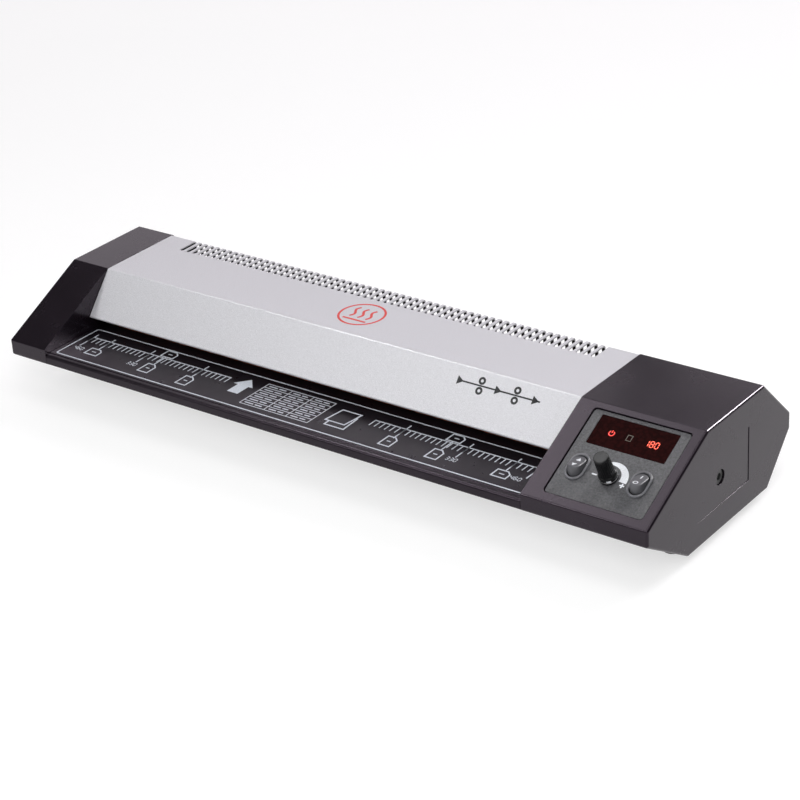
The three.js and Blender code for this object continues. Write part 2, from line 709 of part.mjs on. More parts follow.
// an oval round a rocker's plan, larger than it by a margin on every side
function ovalShape(x, margin) {
  const width = ROCKER.width + 2 * margin;
  const height = 2 * (ROCKER.radius + margin);
  return roundedRectangle(x, -ROCKER.s, width, height, width / 2 - 0.1);
}

function circleSolid(x, s, radius, z0, z1, segments = 24) {
  const solid = new THREE.CylinderGeometry(radius, radius, z1 - z0, segments);
  return solid.rotateX(Math.PI / 2).translate(x, -s, (z0 + z1) / 2);
}

// the panel opening's outline, grown by a margin
function panelOutline(margin) {
  const width = PANEL_RIGHT - PANEL_LEFT + 2 * margin;
  const height = PANEL_BOTTOM - PANEL_TOP + 2 * margin;
  return roundedRectangle(PANEL_MIDDLE, -(PANEL_TOP + PANEL_BOTTOM) / 2, width, height, WALL);
}

// a flange under the shell's wall and a raised face that fills the opening
function addPanelPlate() {
  const flange = plate(panelOutline(2.5), PANEL_BOTTOM_Z, FLANGE_TOP_Z);
  const face = plate(panelOutline(-FIT), PANEL_BOTTOM_Z, PANEL_TOP_Z);
  const windowHole = roundedRectangle(WINDOW.x, -WINDOW.s, WINDOW.width + 2 * FIT, WINDOW.height + 2 * FIT, 1);
  const switchHole = SWITCH.spare + SWITCH.rim + FIT;
  const through = [PANEL_BOTTOM_Z - 1, PANEL_TOP_Z + 1];
  const panel = cut(
    join(flange, face),
    plate(windowHole, ...through),
    plate(ovalShape(ROCKER.x - ROCKER.offset, switchHole), ...through),
    plate(ovalShape(ROCKER.x + ROCKER.offset, switchHole), ...through),
    circleSolid(KNOB.x, KNOB.s, POT.bush + FIT, ...through),
  );
  addPiece('control_panel', panel, 'panelPlastic', panelFrame);
}

function addDisplay() {
  const glass = roundedRectangle(WINDOW.x, -WINDOW.s, WINDOW.width, WINDOW.height, 0.8);
  addPiece('display_window', plate(glass, PANEL_TOP_Z - WINDOW.thickness, PANEL_TOP_Z), 'smokedWindow', panelFrame);
  const boardTop = PANEL_BOTTOM_Z - 4;
  const board = plate(roundedRectangle(WINDOW.x, -WINDOW.s, 72, 31, 1), boardTop - 1.6, boardTop);
  const digits = plate(roundedRectangle(WINDOW.x + 16, -WINDOW.s, 30, 16, 0.5), boardTop - 0.5, boardTop + 3.6);
  addPiece('display_board', join(board, digits), 'circuitBoard', panelFrame);
}

// an oval bezel on top of the panel and a body that goes down through it
function switchHousing(x) {
  const bodyMargin = SWITCH.spare + SWITCH.rim;
  const bezelBottom = PANEL_TOP_Z + FIT;
  const bezelTop = PANEL_TOP_Z + SWITCH.flangeHeight;
  const bottom = PANEL_TOP_Z - SWITCH.depth;
  const bezel = plate(ovalShape(x, bodyMargin + SWITCH.flange), bezelBottom, bezelTop);
  const body = plate(ovalShape(x, bodyMargin), bottom, bezelTop - 0.5);
  return cut(join(bezel, body), plate(ovalShape(x, SWITCH.spare), bottom + SWITCH.rim, bezelTop + 1));
}

// an oval button, whose ends swing clear of its well and whose top rises towards its lower end
function rockerSolid() {
  const { radius, crown, wedge } = ROCKER;
  const rise = Math.tan(wedge);
  const span = 1 + rise ** 2;
  const reach = Math.sqrt(span * radius ** 2 - crown ** 2);
  const upper = (crown * rise + reach) / span;
  const lower = (crown * rise - reach) / span;
  const endBottom = -Math.PI / 7;
  const side = new THREE.Shape();
  side.absarc(0, 0, radius, endBottom, Math.atan2(crown - upper * rise, upper));
  side.absarc(0, 0, radius, Math.atan2(crown - lower * rise, lower), Math.PI - endBottom);
  side.closePath();
  const plan = plate(ovalShape(0, 0), -ROCKER.radius, ROCKER.radius, 5).translate(0, ROCKER.s, 0);
  return overlapOf(alongX(side, -ROCKER.width, ROCKER.width), plan);
}

function addRocker(name, x) {
  addPiece(`${name}_switch_housing`, switchHousing(x), 'greyPlastic', panelFrame);
  const rocker = addPiece(`${name}_rocker`, rockerSolid(), 'greyPlastic', panelFrame);
  rocker.position.set(x, -ROCKER.s, PANEL_TOP_Z + ROCKER.pivot);
  rocker.rotation.x = -ROCKER.tilt;
}

function addKnob() {
  const bottom = 0.5;
  const bore = POT.shaft + FIT;
  const boreTop = KNOB.height - 6;
  const profile = [
    [bore, bottom],
    [KNOB.skirt, bottom],
    [KNOB.skirt, KNOB.skirtHeight - 1],
    [KNOB.skirt - 0.8, KNOB.skirtHeight],
    [KNOB.grip + 0.2, KNOB.skirtHeight],
    [KNOB.grip, KNOB.height],
    [0, KNOB.height],
    [0, boreTop],
    [bore, boreTop],
    [bore, bottom],
  ].map(([radius, height]) => new THREE.Vector2(radius, height));
  const knob = new THREE.LatheGeometry(profile, 24).rotateX(Math.PI / 2);
  addPiece('knob', knob, 'blackPlastic', panelFrame).position.set(KNOB.x, -KNOB.s, PANEL_TOP_Z);
  const capBottom = PANEL_TOP_Z + KNOB.height + 0.2;
  const cap = circleSolid(KNOB.x, KNOB.s, KNOB.grip - 0.4, capBottom, capBottom + 0.8);
  addPiece('knob_cap', cap, 'greyPlastic', panelFrame);
  const shaftBottom = PANEL_BOTTOM_Z - POT.depth / 2;
  const shaft = circleSolid(KNOB.x, KNOB.s, POT.shaft, shaftBottom, PANEL_TOP_Z + boreTop - FIT, 16);
  addPiece('knob_shaft', shaft, 'aluminium', panelFrame);
  const bodyTop = PANEL_BOTTOM_Z - FIT;
  const bodyBottom = bodyTop - POT.depth;
  const pot = cut(
    join(
      circleSolid(KNOB.x, KNOB.s, POT.radius, bodyBottom, bodyTop),
      circleSolid(KNOB.x, KNOB.s, POT.bush, bodyBottom + 1, PANEL_TOP_Z),
    ),
    circleSolid(KNOB.x, KNOB.s, POT.shaft + FIT, shaftBottom - FIT, 0, 16),
  );
  addPiece('potentiometer', pot, 'zincSteel', panelFrame);
}

// ---------------------------------------------------------------- electronics in the right cap

const BOARD = { x0: 238, x1: 306, y0: -40, y1: 22, z: 13, thickness: 1.6 };

function addElectronics() {
  const { x0, x1, y0, y1, z, thickness } = BOARD;
  const top = z + thickness;
  const root = top - 0.5;
  const board = join(
    box(x0, x1, y0, y1, z, top),
    box(x0 + 4, x0 + 22, y1 - 26, y1 - 6, root, top + 15),
    box(x0 + 6, x0 + 16, y0 + 5, y0 + 15, root, top + 20),
    box(x0 + 28, x0 + 34, y0 + 6, y0 + 28, root, top + 9),
  );
  addPiece('control_board', board, 'circuitBoard');
  const middle = { x: x1 - 18, y: y1 - 20 };
  const core = box(middle.x - 15, middle.x + 15, middle.y - 12, middle.y + 12, top + FIT, top + 26);
  const winding = box(middle.x - 9, middle.x + 9, middle.y - 16, middle.y + 16, top + 5, top + 21);
  addPiece('transformer', join(core, winding), 'steel');
}

addEndCaps();
addSidePlug();
addCordGland();
addTopCover();
addTrays();
addBasePan();
addFeet();
addSideFrames();
addDriveTrain();
addHeating();
addPanelPlate();
addDisplay();
addRocker('reverse', ROCKER.x - ROCKER.offset);
addRocker('power', ROCKER.x + ROCKER.offset);
addKnob();
addElectronics();

export default laminator;
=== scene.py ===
"""Pouch laminator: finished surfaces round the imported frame.

Shapes are drawn in millimetres in the frame's own axes and scaled to metres when they become
meshes. x runs along the length towards the control side, y from the feed side to the exit side,
z up. On the control panel, s is the distance down the slope from the fold and h the height above
the slope.
"""

import json
import math

import bmesh
import bpy
from mathutils import Matrix, Vector

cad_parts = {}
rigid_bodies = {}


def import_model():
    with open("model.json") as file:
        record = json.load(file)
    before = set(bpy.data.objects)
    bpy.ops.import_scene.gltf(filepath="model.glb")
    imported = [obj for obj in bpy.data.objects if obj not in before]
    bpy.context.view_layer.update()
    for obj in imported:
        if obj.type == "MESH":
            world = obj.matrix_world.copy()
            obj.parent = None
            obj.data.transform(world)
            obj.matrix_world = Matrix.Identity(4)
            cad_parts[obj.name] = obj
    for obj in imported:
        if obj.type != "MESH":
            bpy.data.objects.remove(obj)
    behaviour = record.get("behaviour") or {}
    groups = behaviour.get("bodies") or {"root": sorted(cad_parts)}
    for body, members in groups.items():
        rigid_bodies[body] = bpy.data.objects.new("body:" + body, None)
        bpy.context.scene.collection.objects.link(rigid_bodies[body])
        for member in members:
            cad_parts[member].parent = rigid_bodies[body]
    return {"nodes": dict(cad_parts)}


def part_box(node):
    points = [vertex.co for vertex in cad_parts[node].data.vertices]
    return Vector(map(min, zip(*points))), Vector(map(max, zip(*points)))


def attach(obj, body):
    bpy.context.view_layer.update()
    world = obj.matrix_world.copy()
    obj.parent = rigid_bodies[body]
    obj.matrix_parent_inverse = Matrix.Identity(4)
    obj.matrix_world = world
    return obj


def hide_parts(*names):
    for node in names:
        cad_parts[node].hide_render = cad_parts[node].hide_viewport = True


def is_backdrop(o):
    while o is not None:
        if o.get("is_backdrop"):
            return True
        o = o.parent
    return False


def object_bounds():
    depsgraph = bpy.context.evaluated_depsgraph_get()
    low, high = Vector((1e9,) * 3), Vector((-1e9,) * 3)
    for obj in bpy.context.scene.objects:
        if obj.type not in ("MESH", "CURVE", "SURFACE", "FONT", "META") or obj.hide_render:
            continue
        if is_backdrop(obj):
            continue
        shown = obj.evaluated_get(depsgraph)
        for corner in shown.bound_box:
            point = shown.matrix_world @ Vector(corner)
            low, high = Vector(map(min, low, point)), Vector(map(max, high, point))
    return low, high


for leftover in list(bpy.data.objects):
    bpy.data.objects.remove(leftover)
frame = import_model()
cad_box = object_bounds()

MM = 0.001
TAU = 2 * math.pi


def box_mm(node):
    low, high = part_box(node)
    return low / MM, high / MM


# ------------------------------------------------------------------ sizes, from the frame

LOW, HIGH = (Vector(corner) / MM for corner in cad_box)
X_LEFT, Y_FRONT = LOW.x, LOW.y
X_RIGHT, Y_BACK, Z_TOP = HIGH
BAY_LEFT = box_mm("left_end_cap")[1].x
BAY_RIGHT = box_mm("right_end_cap")[0].x
BAY_MIDDLE = (BAY_LEFT + BAY_RIGHT) / 2
Z_BASE = box_mm("left_end_cap")[0].z
TRAY_REAR_Y, TRAY_TOP = box_mm("feed_tray")[1].yz
WALL = 3
FIT = 0.3  # the gap left where two parts meet
BETWEEN_CAPS = (BAY_LEFT + FIT, BAY_RIGHT - FIT)

# the end caps' outline
FRONT_FOLD_Y = -20.55
REAR_FOLD_Y = 64.25
CAP_LIP_TOP = 57
CAP_LIP_BOTTOM = 43.5
CAP_REAR_TOP = 58.3
CAP_REAR_BOTTOM = 44.6
FLOOR_FRONT_Y = -48.25
FLOOR_REAR_Y = 71.35
CAP_OUTLINE = [
    (Y_FRONT, CAP_LIP_BOTTOM),
    (FLOOR_FRONT_Y, Z_BASE),
    (FLOOR_REAR_Y, Z_BASE),
    (Y_BACK, CAP_REAR_BOTTOM),
    (Y_BACK, CAP_REAR_TOP),
    (REAR_FOLD_Y, Z_TOP),
    (FRONT_FOLD_Y, Z_TOP),
    (Y_FRONT, CAP_LIP_TOP),
]
CAP_CORNER_RADIUS = 2.2
CAP_EDGE_RADIUS = 2.2

# the panel's slope
SLOPE = math.atan2(Z_TOP - CAP_LIP_TOP, FRONT_FOLD_Y - Y_FRONT)
DOWN_SLOPE = Vector((0, -math.cos(SLOPE), -math.sin(SLOPE)))
OUT_OF_SLOPE = Vector((0, -math.sin(SLOPE), math.cos(SLOPE)))
FOLD = Vector((0, FRONT_FOLD_Y, Z_TOP))
PANEL_LEFT = 225.2
PANEL_RIGHT = 309.2
PANEL_TOP = 6
PANEL_BOTTOM = 87.3
PANEL_H = -1
WINDOW = {"x": 267.2, "s": 23.2, "width": 67, "height": 27.2}
ROCKER_S = 59.5
ROCKER_HALF_WIDTH = 5.2
ROCKER_HALF_LENGTH = 9.3
ROCKER_TILT = math.radians(12)
ROCKER_WEDGE = math.tan(math.radians(15))
ROCKER_CROWN = 4.6
ROCKER_PIVOT_H = PANEL_H + 1
ROCKER_X = {"reverse": 266 - 26.6, "power": 266 + 26.6}
KNOB_S = 61
KNOB_X = 267.6


def on_slope(x, s, h):
    return Vector((x, 0, 0)) + FOLD + DOWN_SLOPE * s + OUT_OF_SLOPE * h


# ------------------------------------------------------------------ outlines


def arc(centre, radius, start, end, steps):
    """Points on a circle in a plane, both ends included."""
    turns = [start + (end - start) * i / steps for i in range(steps + 1)]
    return [(centre[0] + radius * math.cos(t), centre[1] + radius * math.sin(t)) for t in turns]


def corner_data(corners, index):
    """A corner, the directions to the corners before and after it, and half of its angle."""
    here = Vector(corners[index])
    before = Vector(corners[index - 1])
    after = Vector(corners[(index + 1) % len(corners)])
    back = (before - here).normalized()
    ahead = (after - here).normalized()
    half = math.acos(max(-1, min(1, back.dot(ahead)))) / 2
    return here, back, ahead, half


def inset(corners, distance):
    """A convex outline's corners, moved inwards."""
    points = []
    for index in range(len(corners)):
        here, back, ahead, half = corner_data(corners, index)
        points.append(tuple(here + (back + ahead).normalized() * distance / math.sin(half)))
    return points


def fillet(corners, radii, steps=6):
    """A closed outline with each corner rounded by its own radius."""
    points = []
    for index, radius in enumerate(radii):
        here, back, ahead, half = corner_data(corners, index)
        if radius <= 0:
            points.append(tuple(here))
            continue
        start = here + back * radius / math.tan(half)
        centre = here + (back + ahead).normalized() * radius / math.sin(half)
        from_centre = start - centre
        first = math.atan2(from_centre.y, from_centre.x)
        sweep = math.pi - 2 * half
        turn = -1 if back.cross(ahead) > 0 else 1
        points += arc(centre, radius, first, first + turn * sweep, steps)
    return points


def rounded_rectangle(cx, cy, width, height, radius, steps=6):
    dx, dy = width / 2, height / 2
    corners = [(cx - dx, cy - dy), (cx + dx, cy - dy), (cx + dx, cy + dy), (cx - dx, cy + dy)]
    return fillet(corners, [radius] * 4, steps)


def oval(half_width, half_length, steps=16):
    """An outline with straight long sides and round ends, about the origin."""
    reach = half_length - half_width
    front = arc((0, -reach), half_width, math.pi, TAU, steps)
    return front + arc((0, reach), half_width, 0, math.pi, steps)


def circle(radius, steps=48):
    return arc((0, 0), radius, 0, TAU * (steps - 1) / steps, steps - 1)


def moved(outline, x, y):
    return [(x + u, y + v) for u, v in outline]


# ------------------------------------------------------------------ meshes


def linked(name, data):
    """A new object in the scene."""
    obj = bpy.data.objects.new(name, data)
    bpy.context.scene.collection.objects.link(obj)
    return obj


def object_from(name, verts, faces, is_closed=True):
    """A mesh object from points in millimetres."""
    mesh = bpy.data.meshes.new(name)
    mesh.from_pydata([tuple(Vector(v) * MM) for v in verts], [], faces)
    draft = bmesh.new()
    draft.from_mesh(mesh)
    bmesh.ops.remove_doubles(draft, verts=draft.verts, dist=1e-7)
    if is_closed:
        bmesh.ops.recalc_face_normals(draft, faces=draft.faces)
    draft.to_mesh(mesh)
    draft.free()
    return linked(name, mesh)


def loft_data(rings, close_ends=True, close_rings=False):
    """Vertices and faces of a skin over rings that have the same number of points."""
    count = len(rings[0])
    verts = [point for ring in rings for point in ring]
    faces = []
    last = len(rings) if close_rings else len(rings) - 1
    for row in range(last):
        a, b = row * count, (row + 1) % len(rings) * count
        for i in range(count):
            j = (i + 1) % count
            faces.append((a + i, a + j, b + j, b + i))
    if close_ends and not close_rings:
        faces.append(tuple(reversed(range(count))))
        faces.append(tuple(range((len(rings) - 1) * count, len(rings) * count)))
    return verts, faces


def loft(name, rings, close_ends=True, close_rings=False):
    return object_from(name, *loft_data(rings, close_ends, close_rings))


def prism_x(name, outline, x0, x1):
    """An outline drawn in (y, z), drawn out from x0 to x1."""
    return loft(name, [[(x, y, z) for y, z in outline] for x in (x0, x1)])


def prism_z(name, outline, z0, z1):
    return loft(name, [[(x, y, z) for x, y in outline] for z in (z0, z1)])


def prism_slope(name, outline, h0, h1, growth=0):
    """An outline drawn in (x, s), drawn out along the slope's normal. growth widens its top."""
    cx = sum(x for x, _ in outline) / len(outline)
    cs = sum(s for _, s in outline) / len(outline)
    rings = []
    for h, extra in ((h0, 0), (h1, growth)):
        ring = []
        for x, s in outline:
            point = Vector((x, s)) + Vector((x - cx, s - cs)).normalized() * extra
            ring.append(on_slope(point.x, point.y, h))
        rings.append(ring)
    return loft(name, rings)


def box_object(name, low, high):
    (x0, y0, z0), (x1, y1, z1) = low, high
    return prism_x(name, [(y0, z0), (y1, z0), (y1, z1), (y0, z1)], x0, x1)


def turned(name, profile, place, steps=64, closed=False):
    """A turned piece from (radius, height) points. place maps (u, v, height) to the frame."""
    rings = []
    for radius, height in profile:
        rings.append([place(u, v, height) for u, v in circle(max(radius, 0.001), steps)])
    return loft(name, rings, close_rings=closed)


def bake(obj):
    """Turns an object's modifiers into its mesh."""
    graph = bpy.context.evaluated_depsgraph_get()
    mesh = bpy.data.meshes.new_from_object(obj.evaluated_get(graph))
    old = obj.data
    obj.modifiers.clear()
    obj.data = mesh
    bpy.data.meshes.remove(old)


def carve(obj, cutters, operation="DIFFERENCE"):
    """Cuts other objects out of one, or joins them to it, and removes them."""
    for cutter in cutters:
        modifier = obj.modifiers.new("cut", "BOOLEAN")
        modifier.object = cutter
        modifier.operation = operation
        modifier.solver = "EXACT"
    bake(obj)
    for cutter in cutters:
        bpy.data.objects.remove(cutter)


def bevel_edges(obj, width, segments, angle):
    modifier = obj.modifiers.new("edges", "BEVEL")
    modifier.width = width * MM
    modifier.segments = segments
    modifier.limit_method = "ANGLE"
    modifier.angle_limit = math.radians(angle)


def soften(obj, width, segments=3, angle=32):
    """Rounds an object's sharp edges by a radius of about width."""
    bevel_edges(obj, width, segments, angle)
    bake(obj)


def finish_surface(obj, material, smooth_angle):
    obj.data.materials.clear()
    obj.data.materials.append(MATERIAL[material])
    obj.data.shade_smooth()
    obj.data.set_sharp_from_angle(angle=math.radians(smooth_angle))


def joined(name, objects):
    """One object from several."""
    draft = bmesh.new()
    for obj in objects:
        draft.from_mesh(obj.data)
        bpy.data.objects.remove(obj)
    mesh = bpy.data.meshes.new(name)
    draft.to_mesh(mesh)
    draft.free()
    return linked(name, mesh)


def place_piece(obj, slot, body="housing", replaces=(), material=None, smooth_angle=40):
    """Gives a piece its finish, its shading and the body that it rides on. Its material is its
    slot's own, unless another is named."""
    finish_surface(obj, material or slot, smooth_angle)
    even = obj.modifiers.new("even_flats", "WEIGHTED_NORMAL")
    even.keep_sharp = True
    bake(obj)
    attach(obj, body)
    if replaces:
        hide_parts(*replaces)


# ------------------------------------------------------------------ materials


# what counts as low and high in a texture's output
SOURCE_RANGE = (0.3, 0.7)
PURPLE_SHEEN = (1, 0.78, 1, 1)


class Finish:
    """A procedural material: one principled shader and the textures that feed it."""

    def __init__(self, name, color, roughness, metallic=0.0):
        self.material = bpy.data.materials.new(name)
        self.material.use_nodes = True
        self.nodes = self.material.node_tree.nodes
        self.links = self.material.node_tree.links
        self.shader = self.nodes["Principled BSDF"]
        self.color = color
        self.roughness = roughness
        self.set("Base Color", (*color, 1))
        self.set("Roughness", roughness)
        self.set("Metallic", metallic)
        self.coordinates = self.nodes.new("ShaderNodeTexCoord")
        self.last_bump = None

    def set(self, socket, value):
        self.shader.inputs[socket].default_value = value

    def stretched(self, scale):
        """Object coordinates in metres, with a scale for each axis."""
        mapping = self.nodes.new("ShaderNodeMapping")
        mapping.inputs["Scale"].default_value = scale
        self.links.new(self.coordinates.outputs["Object"], mapping.inputs["Vector"])
        return mapping.outputs["Vector"]

    def noise(self, scale, detail=2.0, roughness=0.5, stretch=(1, 1, 1)):
        """Noise with features of about 1 / scale metres."""
        texture = self.nodes.new("ShaderNodeTexNoise")
        texture.inputs["Scale"].default_value = scale
        texture.inputs["Detail"].default_value = detail
        texture.inputs["Roughness"].default_value = roughness
        self.links.new(self.stretched(stretch), texture.inputs["Vector"])
        return texture.outputs["Fac"]

    def cells(self, scale, feature="F1"):
        """Distances within a pattern of cells of about 1 / scale metres."""
        texture = self.nodes.new("ShaderNodeTexVoronoi")
        texture.feature = feature
        texture.inputs["Scale"].default_value = scale
        self.links.new(self.stretched((1, 1, 1)), texture.inputs["Vector"])
        return texture.outputs["Distance"]

    def vary_color(self, source, dark, light):
        """The base colour, times dark where source is low and times light where it is high."""
        ramp = self.nodes.new("ShaderNodeValToRGB")
        ends = ramp.color_ramp.elements
        ends[0].position, ends[1].position = SOURCE_RANGE
        ends[0].color = (*[channel * dark for channel in self.color], 1)
        ends[1].color = (*[min(1, channel * light) for channel in self.color], 1)
        self.links.new(source, ramp.inputs["Fac"])
        self.links.new(ramp.outputs["Color"], self.shader.inputs["Base Color"])

    def vary_roughness(self, source, amount):
        """The roughness, less by amount where source is low and more by it where it is high."""
        mapped = self.nodes.new("ShaderNodeMapRange")
        mapped.inputs["From Min"].default_value, mapped.inputs["From Max"].default_value = SOURCE_RANGE
        mapped.inputs["To Min"].default_value = self.roughness - amount
        mapped.inputs["To Max"].default_value = self.roughness + amount
        self.links.new(source, mapped.inputs["Value"])
        self.links.new(mapped.outputs["Result"], self.shader.inputs["Roughness"])

    def bump(self, source, height, strength=1.0):
        """Relief of a height in millimetres; a second call adds to the first."""
        node = self.nodes.new("ShaderNodeBump")
        node.inputs["Strength"].default_value = strength
        node.inputs["Distance"].default_value = height * MM
        self.links.new(source, node.inputs["Height"])
        if self.last_bump:
            self.links.new(self.last_bump, node.inputs["Normal"])
        self.last_bump = node.outputs["Normal"]
        self.links.new(self.last_bump, self.shader.inputs["Normal"])


def dark_shell():
    finish = Finish("dark_shell", (0.0074, 0.0052, 0.0078), 0.26)
    finish.set("Specular Tint", PURPLE_SHEEN)
    finish.set("Specular IOR Level", 0.26)
    finish.set("Coat Weight", 0.15)
    finish.set("Coat Roughness", 0.12)
    finish.vary_color(finish.noise(30, 3), 0.85, 1.15)
    finish.vary_roughness(finish.noise(45, 3), 0.025)
    finish.bump(finish.noise(2600, 2), 0.008, 0.3)
    finish.bump(finish.noise(9, 1), 0.25, 0.04)
    return finish.material


def painted_steel():
    finish = Finish("painted_steel", (0.61, 0.608, 0.638), 0.45, 0.15)
    finish.set("Coat Weight", 0.2)
    finish.set("Coat Roughness", 0.15)
    finish.vary_color(finish.noise(1700, 1, 0.7), 0.84, 1.12)
    finish.vary_roughness(finish.noise(700, 2), 0.06)
    finish.bump(finish.noise(1300, 2), 0.02, 0.3)
    finish.bump(finish.noise(9, 1), 0.25, 0.12)
    return finish.material


def tray_plastic():
    finish = Finish("tray_plastic", (0.006, 0.005, 0.0066), 0.3)
    finish.set("Specular Tint", PURPLE_SHEEN)
    finish.set("Specular IOR Level", 0.26)
    finish.vary_color(finish.noise(40, 3), 0.8, 1.25)
    finish.vary_roughness(finish.noise(90, 3), 0.03)
    finish.bump(finish.noise(2300, 2), 0.008, 0.3)
    return finish.material


def panel_plastic():
    finish = Finish("panel_plastic", (0.06, 0.06, 0.065), 0.55)
    finish.vary_color(finish.noise(620, 4, 0.7), 0.45, 1.6)
    finish.vary_roughness(finish.noise(500, 3), 0.08)
    finish.bump(finish.noise(900, 3, 0.6, (1, 0.25, 0.25)), 0.3, 0.9)
    finish.bump(finish.noise(900, 3, 0.6, (0.25, 1, 1)), 0.3, 0.9)
    return finish.material


def satin_plastic(name, color, roughness, specular=0.36):
    finish = Finish(name, color, roughness)
    finish.set("Specular IOR Level", specular)
    finish.vary_color(finish.noise(130, 3), 0.88, 1.15)
    finish.vary_roughness(finish.noise(420, 2), 0.05)
    finish.bump(finish.noise(1500, 2), 0.025, 0.35)
    return finish.material


def smoked_window():
    finish = Finish("smoked_window", (0.0125, 0.0018, 0.0018), 0.12)
    finish.set("Specular IOR Level", 0.01)
    finish.vary_color(finish.cells(330), 1.5, 0.85)
    finish.vary_roughness(finish.noise(60, 2), 0.03)
    finish.bump(finish.noise(25, 1), 0.05, 0.1)
    return finish.material


def ink(name, color):
    finish = Finish(name, color, 0.5)
    finish.vary_color(finish.noise(900, 3), 0.86, 1.06)
    finish.bump(finish.noise(1400, 2), 0.01, 0.3)
    return finish.material


def lit_ink(name, color, light, strength):
    finish = Finish(name, color, 0.4)
    finish.set("Emission Color", (*light, 1))
    finish.set("Emission Strength", strength)
    finish.vary_color(finish.noise(600, 2), 0.8, 1.1)
    return finish.material


def rubber():
    finish = Finish("rubber", (0.014, 0.014, 0.014), 0.78)
    finish.vary_color(finish.noise(180, 4), 0.7, 1.5)
    finish.bump(finish.noise(900, 3), 0.06, 0.6)
    return finish.material


def silicone():
    finish = Finish("silicone", (0.33, 0.075, 0.035), 0.58)
    finish.vary_color(finish.noise(60, 4, 0.6, (0.3, 1, 1)), 0.78, 1.15)
    finish.vary_roughness(finish.noise(400, 3), 0.08)
    finish.bump(finish.noise(1200, 2, 0.5, (0.15, 1, 1)), 0.03, 0.5)
    return finish.material


def ground_metal(name, color, roughness, stretch=(0.05, 1, 1)):
    """Bare metal with fine marks across the stretched axis."""
    finish = Finish(name, color, roughness, 1.0)
    finish.vary_color(finish.noise(350, 3, 0.5, stretch), 0.8, 1.1)
    finish.vary_roughness(finish.noise(900, 2, 0.5, stretch), 0.09)
    finish.bump(finish.noise(1500, 2, 0.5, stretch), 0.02, 0.5)
    return finish.material


def zinc_steel():
    finish = Finish("zinc_steel", (0.5, 0.51, 0.53), 0.42, 1.0)
    finish.vary_color(finish.cells(240), 0.78, 1.12)
    finish.vary_roughness(finish.noise(140, 3), 0.1)
    finish.bump(finish.noise(500, 3), 0.03, 0.4)
    return finish.material


def nylon():
    finish = Finish("nylon", (0.72, 0.68, 0.58), 0.5)
    finish.set("Subsurface Weight", 0.15)
    finish.set("Subsurface Radius", (0.002, 0.002, 0.0015))
    finish.vary_color(finish.noise(110, 3), 0.88, 1.06)
    finish.bump(finish.noise(900, 2), 0.03, 0.3)
    return finish.material


def circuit_board():
    finish = Finish("circuit_board", (0.012, 0.11, 0.04), 0.35)
    finish.vary_color(finish.cells(210, "DISTANCE_TO_EDGE"), 0.55, 1.5)
    finish.bump(finish.cells(210, "DISTANCE_TO_EDGE"), 0.05, 0.5)
    return finish.material


MATERIAL = {
    "dark_shell": dark_shell(),
    "painted_steel": painted_steel(),
    "tray_plastic": tray_plastic(),
    "panel_plastic": panel_plastic(),
    "bezel_plastic": satin_plastic("bezel_plastic", (0.13, 0.13, 0.142), 0.36),
    "grey_plastic": satin_plastic("grey_plastic", (0.1, 0.1, 0.109), 0.4),
    "knob_grey": satin_plastic("knob_grey", (0.026, 0.026, 0.027), 0.42, 0.3),
    "knob_black": satin_plastic("knob_black", (0.005, 0.005, 0.0055), 0.3, 0.18),
    "black_plastic": satin_plastic("black_plastic", (0.012, 0.012, 0.0125), 0.36),
    "smoked_window": smoked_window(),
    "rubber": rubber(),
    "silicone": silicone(),
    "steel": ground_metal("steel", (0.6, 0.6, 0.61), 0.3),
    "zinc_steel": zinc_steel(),
    "aluminium": ground_metal("aluminium", (0.7, 0.71, 0.72), 0.38, (0.03, 1, 1)),
    "bronze": ground_metal("bronze", (0.42, 0.24, 0.09), 0.42, (1, 1, 1)),
    "nylon": nylon(),
    "circuit_board": circuit_board(),
    "white_print": ink("white_print", (0.8, 0.82, 0.86)),
    "tray_print": ink("tray_print", (0.62, 0.66, 0.72)),
    "red_print": ink("red_print", (0.72, 0.045, 0.035)),
    "black_print": ink("black_print", (0.012, 0.012, 0.014)),
    "lit_digits": lit_ink("lit_digits", (0.8, 0.1, 0.06), (1.0, 0.11, 0.06), 1.5),
    "lit_icon": lit_ink("lit_icon", (0.6, 0.03, 0.02), (0.9, 0.03, 0.02), 0.75),
    "dim_icon": lit_ink("dim_icon", (0.05, 0.035, 0.022), (0.3, 0.22, 0.12), 0.04),
}


# ------------------------------------------------------------------ end caps


def cap_block(name, outer_x, inner_x):
    """A solid with the cap's outline, rounded round its outer end."""
    side = 1 if outer_x > 0 else -1
    edge_steps = 8
    rings = []
    for step in range(edge_steps + 1):
        turn = math.pi / 2 * step / edge_steps
        depth = CAP_EDGE_RADIUS * (1 - math.sin(turn))
        back = CAP_EDGE_RADIUS * (1 - math.cos(turn))
        radius = max(CAP_CORNER_RADIUS - depth, 0.3)
        outline = fillet(inset(CAP_OUTLINE, depth), [radius] * len(CAP_OUTLINE))
        x = outer_x - side * back
        rings.append([(x, y, z) for y, z in outline])
    rings.append([(inner_x, y, z) for _, y, z in rings[-1]])
    return loft(name, rings)


def cap_cavity(outer_x, inner_x, end_wall):
    """The hollow of a cap, inside walls of one thickness and an end wall of another."""
    side = 1 if outer_x > 0 else -1
    outline = fillet(inset(CAP_OUTLINE, WALL), [1] * len(CAP_OUTLINE), 3)
    return prism_x("cavity", outline, outer_x - side * end_wall, inner_x + side * WALL)


# y and z of two corners of the opening in each cap's inner wall
CHEEK_LOW = (-34, 13)
CHEEK_HIGH = (54, 80)


def cheek_opening(inner_x):
    return box_object("opening", (inner_x - 2 * WALL, *CHEEK_LOW), (inner_x + 2 * WALL, *CHEEK_HIGH))


